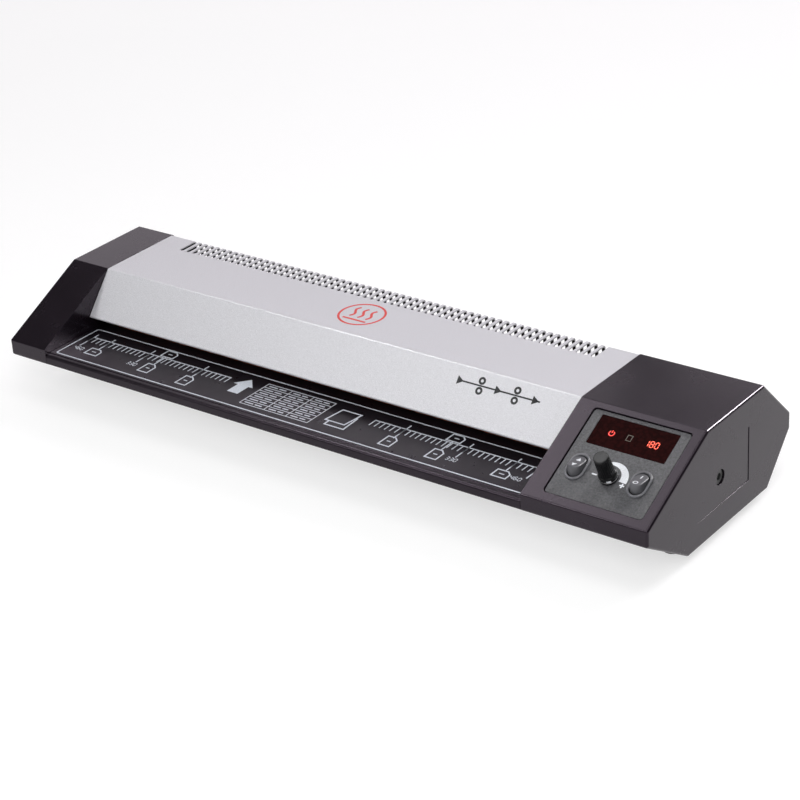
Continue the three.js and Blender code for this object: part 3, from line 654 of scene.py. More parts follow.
END_WALL = 5
RECESS = {"y": 41, "z0": 29, "z1": 75, "depth": 0.5}
PLUG = {"y": -2, "z": 52, "radius": 6}
GLAND = {"x": 280, "z": 51.45, "radius": 4.8}


def side_recess():
    """A wedge that starts at the surface at the front and is deepest at the back."""
    y, z0, z1, depth = RECESS.values()
    outline = [(X_RIGHT, -y), (X_RIGHT + 1, -y), (X_RIGHT + 1, y), (X_RIGHT - depth, y)]
    return prism_z("recess", outline, z0, z1)


def panel_outline(margin=0):
    return rounded_rectangle(
        (PANEL_LEFT + PANEL_RIGHT) / 2,
        (PANEL_TOP + PANEL_BOTTOM) / 2,
        PANEL_RIGHT - PANEL_LEFT + 2 * margin,
        PANEL_BOTTOM - PANEL_TOP + 2 * margin,
        3 + margin,
        8,
    )


def across_x(y, z):
    """Places a turned piece with its axis along X, through y and z."""
    return lambda u, v, height: (height, y + u, z + v)


def across_y(x, z):
    return lambda u, v, height: (x + u, height, z + v)


def across_z(x, y):
    return lambda u, v, height: (x + u, y + v, height)


def across_slope(x, s):
    return lambda u, v, height: on_slope(x + u, s - v, height)


def end_caps():
    left = cap_block("end_cap_left", X_LEFT, BAY_LEFT)
    carve(left, [cap_cavity(X_LEFT, BAY_LEFT, WALL), cheek_opening(BAY_LEFT)])
    soften(left, 0.5)
    place_piece(left, "dark_shell", replaces=["left_end_cap"])

    right = cap_block("end_cap_right", X_RIGHT, BAY_RIGHT)
    plug_hole = [(PLUG["radius"] + FIT, x) for x in (X_RIGHT - 2 * END_WALL, X_RIGHT + 1)]
    gland_hole = [(GLAND["radius"] + FIT, y) for y in (Y_BACK - 2 * WALL, Y_BACK + 1)]
    carve(right, [
        cap_cavity(X_RIGHT, BAY_RIGHT, END_WALL),
        cheek_opening(BAY_RIGHT),
        prism_slope("panel_opening", panel_outline(), -WALL - 0.15, 0.6, 0.9),
        side_recess(),
        turned("plug_hole", plug_hole, across_x(PLUG["y"], PLUG["z"])),
        turned("gland_hole", gland_hole, across_y(GLAND["x"], GLAND["z"])),
    ])
    soften(right, 0.5)
    place_piece(right, "dark_shell", replaces=["right_end_cap"])


def side_plug():
    """A round plug on an inner flange, with a small well in its face."""
    inner = X_RIGHT - END_WALL - FIT
    outer = X_RIGHT - 1.5
    radius = PLUG["radius"]
    profile = [
        (0, inner - 2),
        (radius + 2, inner - 2),
        (radius + 2, inner),
        (radius, inner),
        (radius, outer - 0.5),
        (radius - 0.15, outer - 0.15),
        (radius - 0.5, outer),
        (radius * 0.58, outer),
        (radius * 0.5, outer - 0.2),
        (radius * 0.46, outer - 1.4),
        (0, outer - 1.6),
    ]
    plug = turned("side_plug_cap", profile, across_x(PLUG["y"], PLUG["z"]))
    place_piece(plug, "black_plastic", replaces=["side_plug"])


def cord_gland():
    """A rubber bush round the cord's way out, with two ribs in its bore."""
    inside = Y_BACK - WALL - FIT
    radius = GLAND["radius"]
    profile = [(3, inside - 4), (radius + 0.9, inside - 4), (radius + 0.9, inside), (radius, inside)]
    profile += [(radius, Y_BACK - 0.6), (radius - 0.4, Y_BACK - 0.2)]
    profile += [(3.4, Y_BACK - 0.2), (3, Y_BACK - 0.6)]
    for rib in range(2):
        profile += [(3, inside + rib * 1.2 + 0.6), (3.3, inside + rib * 1.2 + 0.3)][::-1]
    ring = turned("cord_bush", profile, across_y(GLAND["x"], GLAND["z"]), closed=True)
    place_piece(ring, "rubber", replaces=["cord_gland"])


# ------------------------------------------------------------------ top cover

SHEET = 1.2
HEM = 7
COVER_TOP = Z_TOP - 0.12
COVER_LIP = (-50.95, 63.6)
COVER_REAR = (68.5, 66)
VENT_COUNT = 62
VENT_PITCH = 7
VENT_WIDTH = 4.2
VENT_FRONT_Y = 41.5
VENT_BOTTOM_Z = 79.5
VENT_MARGIN = 1


def cover_path():
    """The outer face's section in (y, z), from the front hem over the top to the rear hem."""
    corners = [
        (COVER_LIP[0] + HEM, COVER_LIP[1]),
        COVER_LIP,
        (FRONT_FOLD_Y, COVER_TOP),
        (REAR_FOLD_Y, COVER_TOP),
        COVER_REAR,
        (COVER_REAR[0] - HEM, COVER_REAR[1]),
    ]
    return fillet(corners, [0, 1.4, 2.6, 2.6, 2.2, 0], 8)


def rear_wall_y(z, depth=0):
    """Where the cover's rear wall stands at a height, or a plane at some depth behind its face."""
    lean = (COVER_REAR[0] - REAR_FOLD_Y) / (COVER_TOP - COVER_REAR[1])
    return REAR_FOLD_Y + (COVER_TOP - z) * lean - depth * math.hypot(1, lean)


def cover_rows():
    """The section with extra points where the slots begin and end."""
    half = VENT_WIDTH / 2
    rows = []
    for y, z in cover_path():
        if rows:
            last_y, last_z = rows[-1]
            if y - last_y > VENT_FRONT_Y:
                rows += [(VENT_FRONT_Y - VENT_MARGIN, z), (VENT_FRONT_Y + half, z)]
            if z < VENT_BOTTOM_Z < last_z and y > 0:
                stops = (VENT_BOTTOM_Z + half, VENT_BOTTOM_Z - VENT_MARGIN)
                rows += [(rear_wall_y(stop), stop) for stop in stops]
        rows.append((y, z))
    return rows


def vent_edges():
    """The left and the right edge of every slot, in one row."""
    first = BAY_MIDDLE - (VENT_COUNT - 1) / 2 * VENT_PITCH
    middles = [first + column * VENT_PITCH for column in range(VENT_COUNT)]
    return [x + side * VENT_WIDTH / 2 for x in middles for side in (-1, 1)]


def cover_surface(rows):
    """The cover's outer face as a grid, with a round-ended gap for every slot."""
    xs = [BETWEEN_CAPS[0], *vent_edges(), BETWEEN_CAPS[1]]
    verts = [(x, y, z) for y, z in rows for x in xs]
    half = VENT_WIDTH / 2
    top_row = next(i for i, (y, z) in enumerate(rows) if abs(y - VENT_FRONT_Y - half) < 1e-6)
    end_row = next(i for i, (y, z) in enumerate(rows) if y > 0 and abs(z - VENT_BOTTOM_Z - half) < 1e-6)
    faces = []
    for row in range(len(rows) - 1):
        for column in range(len(xs) - 1):
            a = row * len(xs) + column
            b = a + len(xs)
            is_slot = column % 2 == 1
            if is_slot and top_row <= row < end_row:
                continue
            face = [a, a + 1, b + 1, b]
            middle = (xs[column] + xs[column + 1]) / 2
            turns = [math.pi * step / 8 for step in range(1, 8)]
            if is_slot and row == top_row - 1:
                y = rows[top_row][0]
                bow = [(middle + half * math.cos(t), y - half * math.sin(t), COVER_TOP) for t in turns]
                face[3:3] = range(len(verts), len(verts) + len(bow))
                verts += bow
            if is_slot and row == end_row:
                z = rows[end_row][1]
                drops = [z - half * math.sin(t) for t in turns]
                bow = [(middle + half * math.cos(t), rear_wall_y(d), d) for t, d in zip(turns, drops)]
                face[1:1] = reversed(range(len(verts), len(verts) + len(bow)))
                verts += bow
            faces.append(tuple(face))
    return verts, faces


def top_cover():
    """The bent sheet, thickened inwards from its outer face."""
    cover = object_from("cover", *cover_surface(cover_rows()), is_closed=False)
    thickness = cover.modifiers.new("sheet", "SOLIDIFY")
    thickness.thickness = SHEET * MM
    thickness.offset = -1
    thickness.use_even_offset = True
    bake(cover)
    soften(cover, 0.18, 2, 50)
    place_piece(cover, "painted_steel", replaces=["top_cover"])


def vent_painted_shade():
    """A thin black comb inside the rear wall, with its teeth between the slots. It is painted shade: a
    dark sheet that darkens the inside seen through the vents, where the cover has no liner.
    """
    top = COVER_TOP - 2.6
    root = VENT_BOTTOM_Z - VENT_MARGIN
    bottom = root - 6
    edges = [BAY_LEFT + 0.4, *vent_edges(), BAY_RIGHT - 0.4]
    teeth = []
    for left, right in zip(edges[::2], edges[1::2]):
        teeth += [(left, root), (left, top), (right, top), (right, root)]
    comb = teeth[1:-1] + [(edges[-1], bottom), (edges[0], bottom)]
    rings = [[(x, rear_wall_y(z, SHEET + gap), z) for x, z in comb] for gap in (0.35, 0.05)]
    # painted shade: a black sheet where the inside of the cover is only in shade
    shade_comb = loft("vent_painted_shade", rings)
    place_piece(shade_comb, "black_plastic")


# ------------------------------------------------------------------ trays, base and feet


def sheet_outline(path, thickness, bend):
    """A bent sheet's closed section. path is its outer face, with the sheet on its left."""
    offset = []
    for index, point in enumerate(path):
        here = Vector(point)
        into = (here - Vector(path[index - 1])).normalized() if index else None
        out = (Vector(path[index + 1]) - here).normalized() if index + 1 < len(path) else None
        along = ((into or out) + (out or into)).normalized()
        stretch = along.dot(out or into)
        offset.append(tuple(here + Vector((-along.y, along.x)) * thickness / stretch))
    outer_radii = [0] + [bend + thickness] * (len(path) - 2) + [0]
    inner_radii = [0] + [bend] * (len(path) - 2) + [0]
    return fillet(list(path) + offset[::-1], outer_radii + inner_radii, 5)


def feed_tray():
    """A flat sheet with a small step down to its front edge and a lip that hangs from it."""
    step = 0.7
    corners = [
        (TRAY_REAR_Y, TRAY_TOP),
        (Y_FRONT + 5.2, TRAY_TOP),
        (Y_FRONT + 4.6, TRAY_TOP - step),
        (Y_FRONT, TRAY_TOP - step),
        (Y_FRONT, CAP_LIP_BOTTOM),
        (Y_FRONT + WALL, CAP_LIP_BOTTOM),
        (Y_FRONT + WALL, TRAY_TOP - WALL - step),
        (TRAY_REAR_Y, TRAY_TOP - WALL),
    ]
    outline = fillet(corners, [0.8, 0.5, 0.25, 2.6, 0.8, 0.5, 1.5, 0.3], 6)
    tray = prism_x("feed_tray_plate", outline, *BETWEEN_CAPS)
    soften(tray, 0.3, 2)
    place_piece(tray, "tray_plastic", replaces=["feed_tray"])


def exit_tray():
    """A sheet that slopes down to the rear, with a lip that hangs from its edge."""
    front_y = box_mm("exit_tray")[0].y
    rear_top = 50.5
    corners = [
        (front_y, TRAY_TOP - WALL),
        (Y_BACK - WALL, rear_top - WALL),
        (Y_BACK - WALL, CAP_REAR_BOTTOM),
        (Y_BACK, CAP_REAR_BOTTOM),
        (Y_BACK, rear_top),
        (front_y, TRAY_TOP),
    ]
    outline = fillet(corners, [0.3, 1.5, 0.5, 0.8, 2.2, 0.8], 6)
    tray = prism_x("exit_tray_plate", outline, *BETWEEN_CAPS)
    soften(tray, 0.3, 2)
    place_piece(tray, "tray_plastic", replaces=["exit_tray"])


PAN_SHEET = 2.5
PAN_SETBACK = 3
PAN_SLOT = {"length": 16, "width": 3, "columns": 14, "pitch_x": 26, "rows": 3, "pitch_y": 22, "y": 11}


def toward(start, end, distance):
    """A point at a distance from start on the way to end."""
    return tuple(Vector(start) + (Vector(end) - Vector(start)).normalized() * distance)


def base_pan():
    """A folded sheet between the caps, with rows of air slots in its floor."""
    lip, front, rear, back = CAP_OUTLINE[:4]
    path = [toward(lip, front, PAN_SETBACK), front, rear, toward(back, rear, PAN_SETBACK)]
    pan = prism_x("base", sheet_outline(path, PAN_SHEET, 1.5), *BETWEEN_CAPS)
    slots = []
    for row in range(PAN_SLOT["rows"]):
        for column in range(PAN_SLOT["columns"]):
            x = BAY_MIDDLE + (column - (PAN_SLOT["columns"] - 1) / 2) * PAN_SLOT["pitch_x"]
            y = PAN_SLOT["y"] + (row - (PAN_SLOT["rows"] - 1) / 2) * PAN_SLOT["pitch_y"]
            outline = rounded_rectangle(x, y, PAN_SLOT["length"], PAN_SLOT["width"], 1.4, 4)
            slots.append(prism_z("slot", outline, 0, 20))
    carve(pan, [joined("base_slots", slots)])
    soften(pan, 0.3, 2)
    place_piece(pan, "dark_shell", replaces=["base_pan"])


def feet():
    """Round rubber feet, each with a steel screw head in its middle."""
    for end in ("front_left", "front_right", "rear_left", "rear_right"):
        low, high = box_mm(f"foot_{end}")
        middle = (low + high) / 2
        radius = (high.x - low.x) / 2
        profile = [
            (0, 2.6), (2.6, 2.6), (2.8, 2.4), (2.9, 0.3), (3.3, 0),
            (radius - 2.2, 0), (radius - 1.6, 0.3), (radius - 1.4, 0.9),
            (radius - 0.1, high.z - 0.8), (radius - 0.3, high.z - 0.2), (radius - 0.8, high.z),
            (0, high.z),
        ]
        foot = turned(f"rubber_foot_{end}", profile, across_z(middle.x, middle.y))
        place_piece(foot, "rubber", replaces=[f"foot_{end}"])
        screw_head(f"foot_screw_{end}", middle.x, middle.y, 2.5)


def screw_head(name, x, y, z):
    """A domed head that faces down, with a cross recess."""
    radius = 2.3
    dome = [(0, 0), (radius, 0), (radius, 0.5), (radius * 0.86, 1), (radius * 0.5, 1.35), (0, 1.45)]
    head = turned(name, [(r, z - h) for r, h in dome], across_z(x, y), 32)
    arms = []
    for dx, dy in ((0.5, 1.3), (1.3, 0.5)):
        arms.append(box_object("arm", (x - dx, y - dy, z - 0.7), (x + dx, y + dy, z - 2)))
    carve(head, arms)
    place_piece(head, "steel")


# ------------------------------------------------------------------ control panel


def window_outline(growth, radius):
    width, height = WINDOW["width"] + growth, WINDOW["height"] + growth
    return rounded_rectangle(WINDOW["x"], WINDOW["s"], width, height, radius)


def panel_plate():
    """The inlay on its flange, with holes for the window, the two switches and the knob."""
    bottom = -WALL - 2.8
    flange = prism_slope("flange", panel_outline(2.3), bottom, -WALL - FIT)
    face = prism_slope("panel_inlay", panel_outline(-0.35), bottom, PANEL_H)
    through = (-WALL - 4, PANEL_H + 1)
    holes = [prism_slope("window_hole", window_outline(0.5, 1), *through)]
    for x in ROCKER_X.values():
        well = oval(ROCKER_HALF_WIDTH + 2.3, ROCKER_HALF_LENGTH + 2.3)
        holes.append(prism_slope("switch_hole", moved(well, x, ROCKER_S), *through))
    holes.append(prism_slope("bush_hole", moved(circle(4, 32), KNOB_X, KNOB_S), *through))
    carve(face, [flange], "UNION")
    carve(face, holes)
    soften(face, 0.3, 2)
    place_piece(face, "panel_plastic", replaces=["control_panel"])


def display_window():
    glass = prism_slope("window", window_outline(0, 0.8), PANEL_H - 2, PANEL_H)
    soften(glass, 0.25, 3)
    place_piece(glass, "smoked_window", replaces=["display_window"])


def switch_housing(name, x):
    """A rounded oval bezel whose well runs down through the panel."""
    wide, long = ROCKER_HALF_WIDTH, ROCKER_HALF_LENGTH
    gap, body, flange, top = 0.8, 2.1, 2.9, 2
    # (growth beyond the rocker's plan, height), from the underside out over the bezel and in
    profile = [(body, -12), (body, 0.3), (flange, 0.3), (flange, top - 1)]
    for step in range(1, 9):
        turn = math.pi * step / 9
        middle, reach = (flange + gap) / 2, (flange - gap) / 2
        profile.append((middle + reach * math.cos(turn), top - 1 + math.sin(turn)))
    profile += [(gap, top - 1), (gap, -10.5)]
    rings = []
    for growth, h in profile:
        outline = moved(oval(wide + growth, long + growth), x, ROCKER_S)
        rings.append([on_slope(u, v, PANEL_H + h) for u, v in outline])
    housing = loft(f"{name}_bezel", rings)
    place_piece(housing, "bezel_plastic", replaces=[f"{name}_switch_housing"])


def rocker_top(v):
    """The height of a rocker's top above its pivot. It rises to the lower end, slightly dished."""
    return ROCKER_CROWN - 0.35 + ROCKER_WEDGE * v + 0.45 * (v / ROCKER_HALF_LENGTH) ** 2


def rocker_point(x, u, v, height):
    """A point of a rocker, given in its own axes, tilted with its lower end raised."""
    down = v * math.cos(ROCKER_TILT) - height * math.sin(ROCKER_TILT)
    out = v * math.sin(ROCKER_TILT) + height * math.cos(ROCKER_TILT)
    return on_slope(x + u, ROCKER_S + down, ROCKER_PIVOT_H + out)


def rocker_ring(x, shrink, height_at, scale=1):
    """One ring of a rocker. Its ends stay within the circle in which the rocker swings."""
    ring = []
    for u, v in oval(ROCKER_HALF_WIDTH - shrink, ROCKER_HALF_LENGTH - shrink):
        along = v * scale
        for _ in range(6):
            reach = math.sqrt(ROCKER_HALF_LENGTH ** 2 - height_at(along) ** 2) / ROCKER_HALF_LENGTH
            along = v * scale * reach
        ring.append(rocker_point(x, u * scale, along, height_at(along)))
    return ring


def rocker_button(name, x):
    """An oval button with upright sides, a rolled edge and a dished top."""
    bottom, edge = -4.1, 0.8
    rings = []
    for part in (0, 0.2, 0.4, 0.6, 0.8):
        side = lambda v, part=part: bottom + part * (rocker_top(v) - edge - bottom)
        rings.append(rocker_ring(x, 0, side))
    for step in range(6):
        turn = math.pi / 2 * step / 5
        rolled = lambda v, turn=turn: rocker_top(v) - edge * (1 - math.sin(turn))
        rings.append(rocker_ring(x, edge * (1 - math.cos(turn)), rolled))
    for scale in (0.85, 0.6, 0.3):
        rings.append(rocker_ring(x, edge, rocker_top, scale))
    button = loft(f"{name}_button", rings)
    body = f"{name}_rocker_button"
    place_piece(button, "grey_plastic", body, [f"{name}_rocker"])


KNOB_SKIRT = 7.3
KNOB_TOP = 25
KNOB_FLUTES = 24


def knob_grip():
    """A fluted grip on a stepped skirt, with a shallow well in its top."""
    place = across_slope(KNOB_X, KNOB_S)
    skirt, high = KNOB_SKIRT, KNOB_TOP
    plain = [
        (3.3, 18.2), (3.3, 0.5), (skirt - 0.4, 0.5), (skirt, 0.9), (skirt, 2.2),
        (skirt - 0.4, 2.4), (skirt - 0.4, 3), (skirt, 3.2), (skirt, 5.8),
        (skirt - 0.25, 6.5), (skirt - 0.7, 7), (6.5, 7.05), (6.35, 7.5),
    ]
    # radius, height, depth of the flutes
    fluted = [(6.3, 8.1, 0), (6.3, 8.7, 0.24), (5.95, high - 1.3, 0.24), (5.93, high - 0.7, 0)]
    top = [(5.77, high - 0.3), (5.5, high), (5.2, high), (5.2, high - 0.25), (0.5, high - 0.25)]
    steps = 6 * KNOB_FLUTES
    rings = [[place(u, v, PANEL_H + h) for u, v in circle(r, steps)] for r, h in plain]
    for radius, h, depth in fluted:
        ring = []
        for step in range(steps):
            turn = TAU * step / steps
            here = radius - depth * (0.5 + 0.5 * math.cos(KNOB_FLUTES * turn))
            ring.append(place(here * math.cos(turn), here * math.sin(turn), PANEL_H + h))
        rings.append(ring)
    rings += [[place(u, v, PANEL_H + h) for u, v in circle(r, steps)] for r, h in top]
    grip = loft("knob_grip", rings)
    place_piece(grip, "black_plastic", "knob_assembly", ["knob"], "knob_black", smooth_angle=30)


def knob_ring(name, profile, slot):
    heights = [(r, PANEL_H + h) for r, h in profile]
    ring = turned(name, heights, across_slope(KNOB_X, KNOB_S), 96, closed=True)
    place_piece(ring, slot, "knob_assembly")


def knob_cap():
    """The disc in the grip's top."""
    low = PANEL_H + KNOB_TOP - 0.2
    profile = [(0, 0), (5.1, 0), (5.1, 0.5), (4.9, 0.75), (4.4, 0.75), (0, 0.65)]
    cap = turned("knob_disc", [(r, low + h) for r, h in profile], across_slope(KNOB_X, KNOB_S))
    place_piece(cap, "grey_plastic", "knob_assembly", ["knob_cap"], "knob_grey")


def knob():
    """The grip and its disc, with a steel band in the skirt and a trim round the disc."""
    skirt = KNOB_SKIRT
    knob_grip()
    knob_cap()
    knob_ring("knob_band", [
        (skirt - 0.5, 2.45), (skirt - 0.05, 2.5), (skirt + 0.02, 2.6), (skirt + 0.02, 2.8),
        (skirt - 0.05, 2.9), (skirt - 0.5, 2.95),
    ], "steel")
    knob_ring("knob_trim", [
        (5.2, KNOB_TOP), (5.55, KNOB_TOP + 0.02), (5.53, KNOB_TOP + 0.3), (5.35, KNOB_TOP + 0.5),
        (5.2, KNOB_TOP + 0.5),
    ], "black_plastic")


# ------------------------------------------------------------------ printed and lit marks


class Marks:
    """Thin flat shapes collected into one piece. to_frame maps (x, y, height) to the frame."""

    def __init__(self, to_frame, thickness=0.12, base=0.02):
        self.to_frame = to_frame
        self.thickness = thickness
        self.base = base
        self.verts = []
        self.faces = []

    def skin(self, outlines, close_rings=False):
        """Adds a loft over outlines, each given with its height above the base."""
        rings = [[self.to_frame(x, y, self.base + h) for x, y in outline] for outline, h in outlines]
        verts, faces = loft_data(rings, close_rings=close_rings)
        start = len(self.verts)
        self.verts += verts
        self.faces += [tuple(start + i for i in face) for face in faces]

    def polygon(self, points):
        self.skin([(points, 0), (points, self.thickness)])

    def band(self, outer, inner):
        """The area between two outlines that have the same number of points."""
        high = self.thickness
        self.skin([(outer, 0), (outer, high), (inner, high), (inner, 0)], close_rings=True)

    def ring(self, x, y, outer, inner, steps):
        self.band(moved(circle(outer, steps), x, y), moved(circle(inner, steps), x, y))

    def line(self, start, end, width):
        along = (Vector(end) - Vector(start)).normalized() * width / 2
        side = Vector((-along.y, along.x))
        a, b = Vector(start), Vector(end)
        self.polygon([tuple(a - side), tuple(b - side), tuple(b + side), tuple(a + side)])

    def path(self, points, width, is_closed=False):
        """A stroke of one width along a polyline, mitred at its corners."""
        left, right = [], []
        count = len(points)
        for index, point in enumerate(points):
            here = Vector(point)
            before = Vector(points[index - 1]) if index or is_closed else None
            after = Vector(points[(index + 1) % count]) if index + 1 < count or is_closed else None
            into = (here - before).normalized() if before else (after - here).normalized()
            out = (after - here).normalized() if after else into
            along = (into + out).normalized()
            side = Vector((-along.y, along.x)) * width / 2 / max(along.dot(out), 0.4)
            left.append(tuple(here + side))
            right.append(tuple(here - side))
        if is_closed:
            self.band(left, right)
        else:
            self.polygon(right + left[::-1])

    def digits(self, text, x, y, height, weight=0.16, up=1):
        """A number in seven-segment strokes, centred on a point. up is -1 where y runs down."""
        gap = height * 0.78
        for index, symbol in enumerate(text):
            self.digit(symbol, x + gap * (index - (len(text) - 1) / 2), y, height, weight, up)

    def digit(self, symbol, x, y, height, weight, up):
        w, h = height * 0.25, up * height / 2
        ends = {
            "a": ((-w, h), (w, h)), "b": ((w, h), (w, 0)), "c": ((w, 0), (w, -h)),
            "d": ((w, -h), (-w, -h)), "e": ((-w, -h), (-w, 0)), "f": ((-w, 0), (-w, h)),
            "g": ((-w, 0), (w, 0)),
        }
        lit = {"0": "abcdef", "1": "bc", "3": "abgcd", "4": "fgbc", "6": "afgedc", "8": "abcdefg"}
        stroke = height * weight
        for segment in lit[symbol]:
            (x0, y0), (x1, y1) = ends[segment]
            gap = Vector((x1 - x0, y1 - y0)).normalized() * stroke * 0.56
            self.line((x + x0 + gap.x, y + y0 + gap.y), (x + x1 - gap.x, y + y1 - gap.y), stroke)

    def place(self, name, slot, body="housing", material=None):
        place_piece(object_from(name, self.verts, self.faces), slot, body, material=material)


RULER_Y = -60
RULER_TICK = 5
RULER_SPAN = (75, 230)
# distance from the middle, reach to the rear and reach to the front
PAPER_LINES = [(230, 6, 18), (210, 6, 17), (165, 7, 18), (148.5, 2, 15), (105, 7, 17)]


def on_tray(x, y, height):
    return (x, y, TRAY_TOP + height)


def tray_rulers(marks):
    """A scale on each half of the tray, in millimetres from the middle of the feed path."""
    inner, outer = RULER_SPAN
    for side in (-1, 1):
        at = lambda distance, y, side=side: (BAY_MIDDLE + side * distance, y)
        marks.line(at(inner - 0.5, RULER_Y), at(outer + 0.5, RULER_Y), 1.05)
        for distance in range(inner, outer + 1, RULER_TICK):
            marks.line(at(distance, RULER_Y), at(distance, RULER_Y - 9), 0.95)
        for distance, rear, front in PAPER_LINES:
            marks.line(at(distance, RULER_Y + rear), at(distance, RULER_Y - front), 1.1)
        marks.digits("460", BAY_MIDDLE + side * 225 - 2, RULER_Y - 22, 4.6)
        marks.digits("330", BAY_MIDDLE + side * 165 - 1, RULER_Y - 22, 4.6)


def page_tag(marks, distance, y, width, height):
    """On each side, a page outline with a cut corner and a dash in its middle."""
    dx, dy, cut = width / 2, height / 2, min(width, height) * 0.34
    page = [(-dx, -dy), (dx, -dy), (dx, dy - cut), (dx - cut, dy), (-dx, dy)]
    for x in (BAY_MIDDLE - distance, BAY_MIDDLE + distance):
        marks.path(moved(page, x, y), 1.2, is_closed=True)
        marks.line((x - dx * 0.35, y), (x + dx * 0.35, y), 1.1)


def tray_marks():
    """The printed guide: its frame, rulers, page tags, feed arrow, settings table and pouch."""
    marks = Marks(on_tray)
    left, right = BAY_MIDDLE - 238, BAY_MIDDLE + 241
    frame_corners = [(left, -98.5), (right, -98.5), (right, -46), (left, -46)]
    marks.path(fillet(frame_corners, [2] * 4, 4), 1.25, is_closed=True)
    tray_rulers(marks)
    page_tag(marks, 210, -81.5, 13, 10.5)
    page_tag(marks, 148.5, -52.6, 13, 10.5)
    page_tag(marks, 148.5, -81.5, 10.5, 14.5)
    page_tag(marks, 105, -83, 10.5, 14.5)
    arrow = [(0, 0), (-10, -11.5), (-5.5, -11.5), (-5.5, -25.5), (5.5, -25.5), (5.5, -11.5), (10, -11.5)]
    marks.polygon(moved(arrow, BAY_MIDDLE - 57, -54.5))
    settings_grid(marks, BAY_MIDDLE - 40, BAY_MIDDLE + 30, -53, -91)
    pouch_icon(marks, BAY_MIDDLE + 50, -71)
    marks.place("tray_marks", "white_print", material="tray_print")


def settings_grid(marks, x0, x1, y0, y1):
    """An empty settings table: a grid whose cells hold short strokes."""
    columns = [x0, x0 + (x1 - x0) * 0.36, x0 + (x1 - x0) * 0.68, x1]
    rows = [y0 + (y1 - y0) * step / 6 for step in range(7)]
    for x in columns:
        marks.line((x, y0), (x, y1), 0.75)
    for y in rows:
        marks.line((x0, y), (x1, y), 0.75)
    for low, high in zip(columns, columns[1:]):
        for top, bottom in zip(rows, rows[1:]):
            y = (top + bottom) / 2
            middle = (low + high) / 2
            marks.line((low + 3, y), (middle - 0.8, y), 1.3)
            marks.line((middle + 1, y), (high - 4.5, y), 1.3)


def pouch_icon(marks, x, y):
    """A sheet that slips out of an open pouch."""
    page = [(x - 11, y - 8), (x + 8, y - 8), (x + 10.5, y + 12), (x - 8.5, y + 12)]
    marks.path(page, 1.3, is_closed=True)
    marks.path([(x - 7, y - 8), (x - 7, y - 14.5), (x + 12, y - 14.5), (x + 11, y + 6)], 1.3)


def on_cover_top(x, y, height):
    return (x, y, COVER_TOP + height)


def heat_symbol():
    """A ring round three rising waves and a bar: a plain sign for a hot surface."""
    marks = Marks(on_cover_top, thickness=0.06)
    x, y, radius = BAY_MIDDLE + 8.5, 14, 20.5
    marks.ring(x, y, radius, radius - 2, 72)
    for column in (-1, 0, 1):
        wave = []
        for step in range(21):
            rise = step / 20
            swing = 1.9 * math.sin(TAU * rise)
            wave.append((x + column * 8.2 + swing, y - 6.5 + rise * 17))
        marks.path(wave, 2.2)
    marks.line((x - 11.5, y - 11), (x + 11.5, y - 11), 2.2)
    marks.place("heat_symbol", "red_print")


COVER_LEAN = math.atan2(COVER_TOP - COVER_LIP[1], FRONT_FOLD_Y - COVER_LIP[0])


def on_cover_front(x, drop, height):
    """A point on the cover's front face, at a distance down from the fold."""
    down = Vector((0, -math.cos(COVER_LEAN), -math.sin(COVER_LEAN)))
    out = Vector((0, -math.sin(COVER_LEAN), math.cos(COVER_LEAN)))
    return Vector((x, FRONT_FOLD_Y, COVER_TOP)) + down * drop + out * height


def front_graphic():
    """A plain pictogram strip: two roller pairs, with a sheet that runs between them."""
    marks = Marks(on_cover_front, thickness=0.1, base=0.01)
    x0, x1 = BAY_MIDDLE + 134, BAY_MIDDLE + 211
    middle = 12.5
    marks.line((x0, middle), (x1, middle), 1.3)
    for x in (x0 + 22, x1 - 22):
        for side in (-1, 1):
            marks.ring(x, middle + side * 4.1, 3.2, 1.3, 32)
    for x in (x0 + 6, (x0 + x1) / 2 + 3, x1 - 1):
        marks.polygon([(x, middle), (x - 6, middle + 3.6), (x - 6, middle - 3.6)])
    marks.place("front_graphic", "black_plastic", material="black_print")


def on_panel(x, s, height):
    return on_slope(x, s, PANEL_H + height)


def panel_marks():
    """The crescent that widens towards the higher settings, with its minus and plus."""
    marks = Marks(on_panel, thickness=0.1)
    outer, inner = [], []
    start, end = math.radians(128), math.radians(-4)
    steps = 28
    for step in range(steps + 1):
        part = step / steps
        turn = start + (end - start) * part
        for points, radius in ((outer, 14.6), (inner, 14.3 - 6.2 * part ** 0.55)):
            points.append((KNOB_X + radius * math.cos(turn), KNOB_S - radius * math.sin(turn)))
    marks.polygon(outer + inner[::-1])
    weight = 1.2
    marks.line((KNOB_X - 14.8, KNOB_S + 0.3), (KNOB_X - 10.6, KNOB_S + 0.3), weight)
    x, s = KNOB_X + 12.4, KNOB_S + 3.4
    marks.line((x - 2, s), (x + 2, s), weight)
    marks.line((x, s - 2), (x, s - 0.62), weight)
    marks.line((x, s + 0.62), (x, s + 2), weight)
    marks.place("panel_marks", "white_print")


def rocker_marks():
    """Arrows on one rocker, I and O on the other. They ride on the rockers."""
    for name, x in ROCKER_X.items():
        to_frame = lambda u, v, height, x=x: rocker_point(x, u, v, rocker_top(v) + height)
        marks = Marks(to_frame, thickness=0.1)
        if name == "reverse":
            marks.polygon([(-2, -2.2), (2, -2.2), (0, -6)])
            marks.polygon([(-2, 2.2), (0, 6), (2, 2.2)])
        else:
            marks.line((0, -6), (0, -2.4), 0.9)
            marks.ring(0, 4.2, 2.1, 1.3, 32)
        marks.place(f"{name}_rocker_mark", "white_print", f"{name}_rocker_button")


# the turn of the white bar that paints a highlight on the skirt; the disc's dot stands opposite it
SKIRT_GLINT_TURN = math.radians(-56)


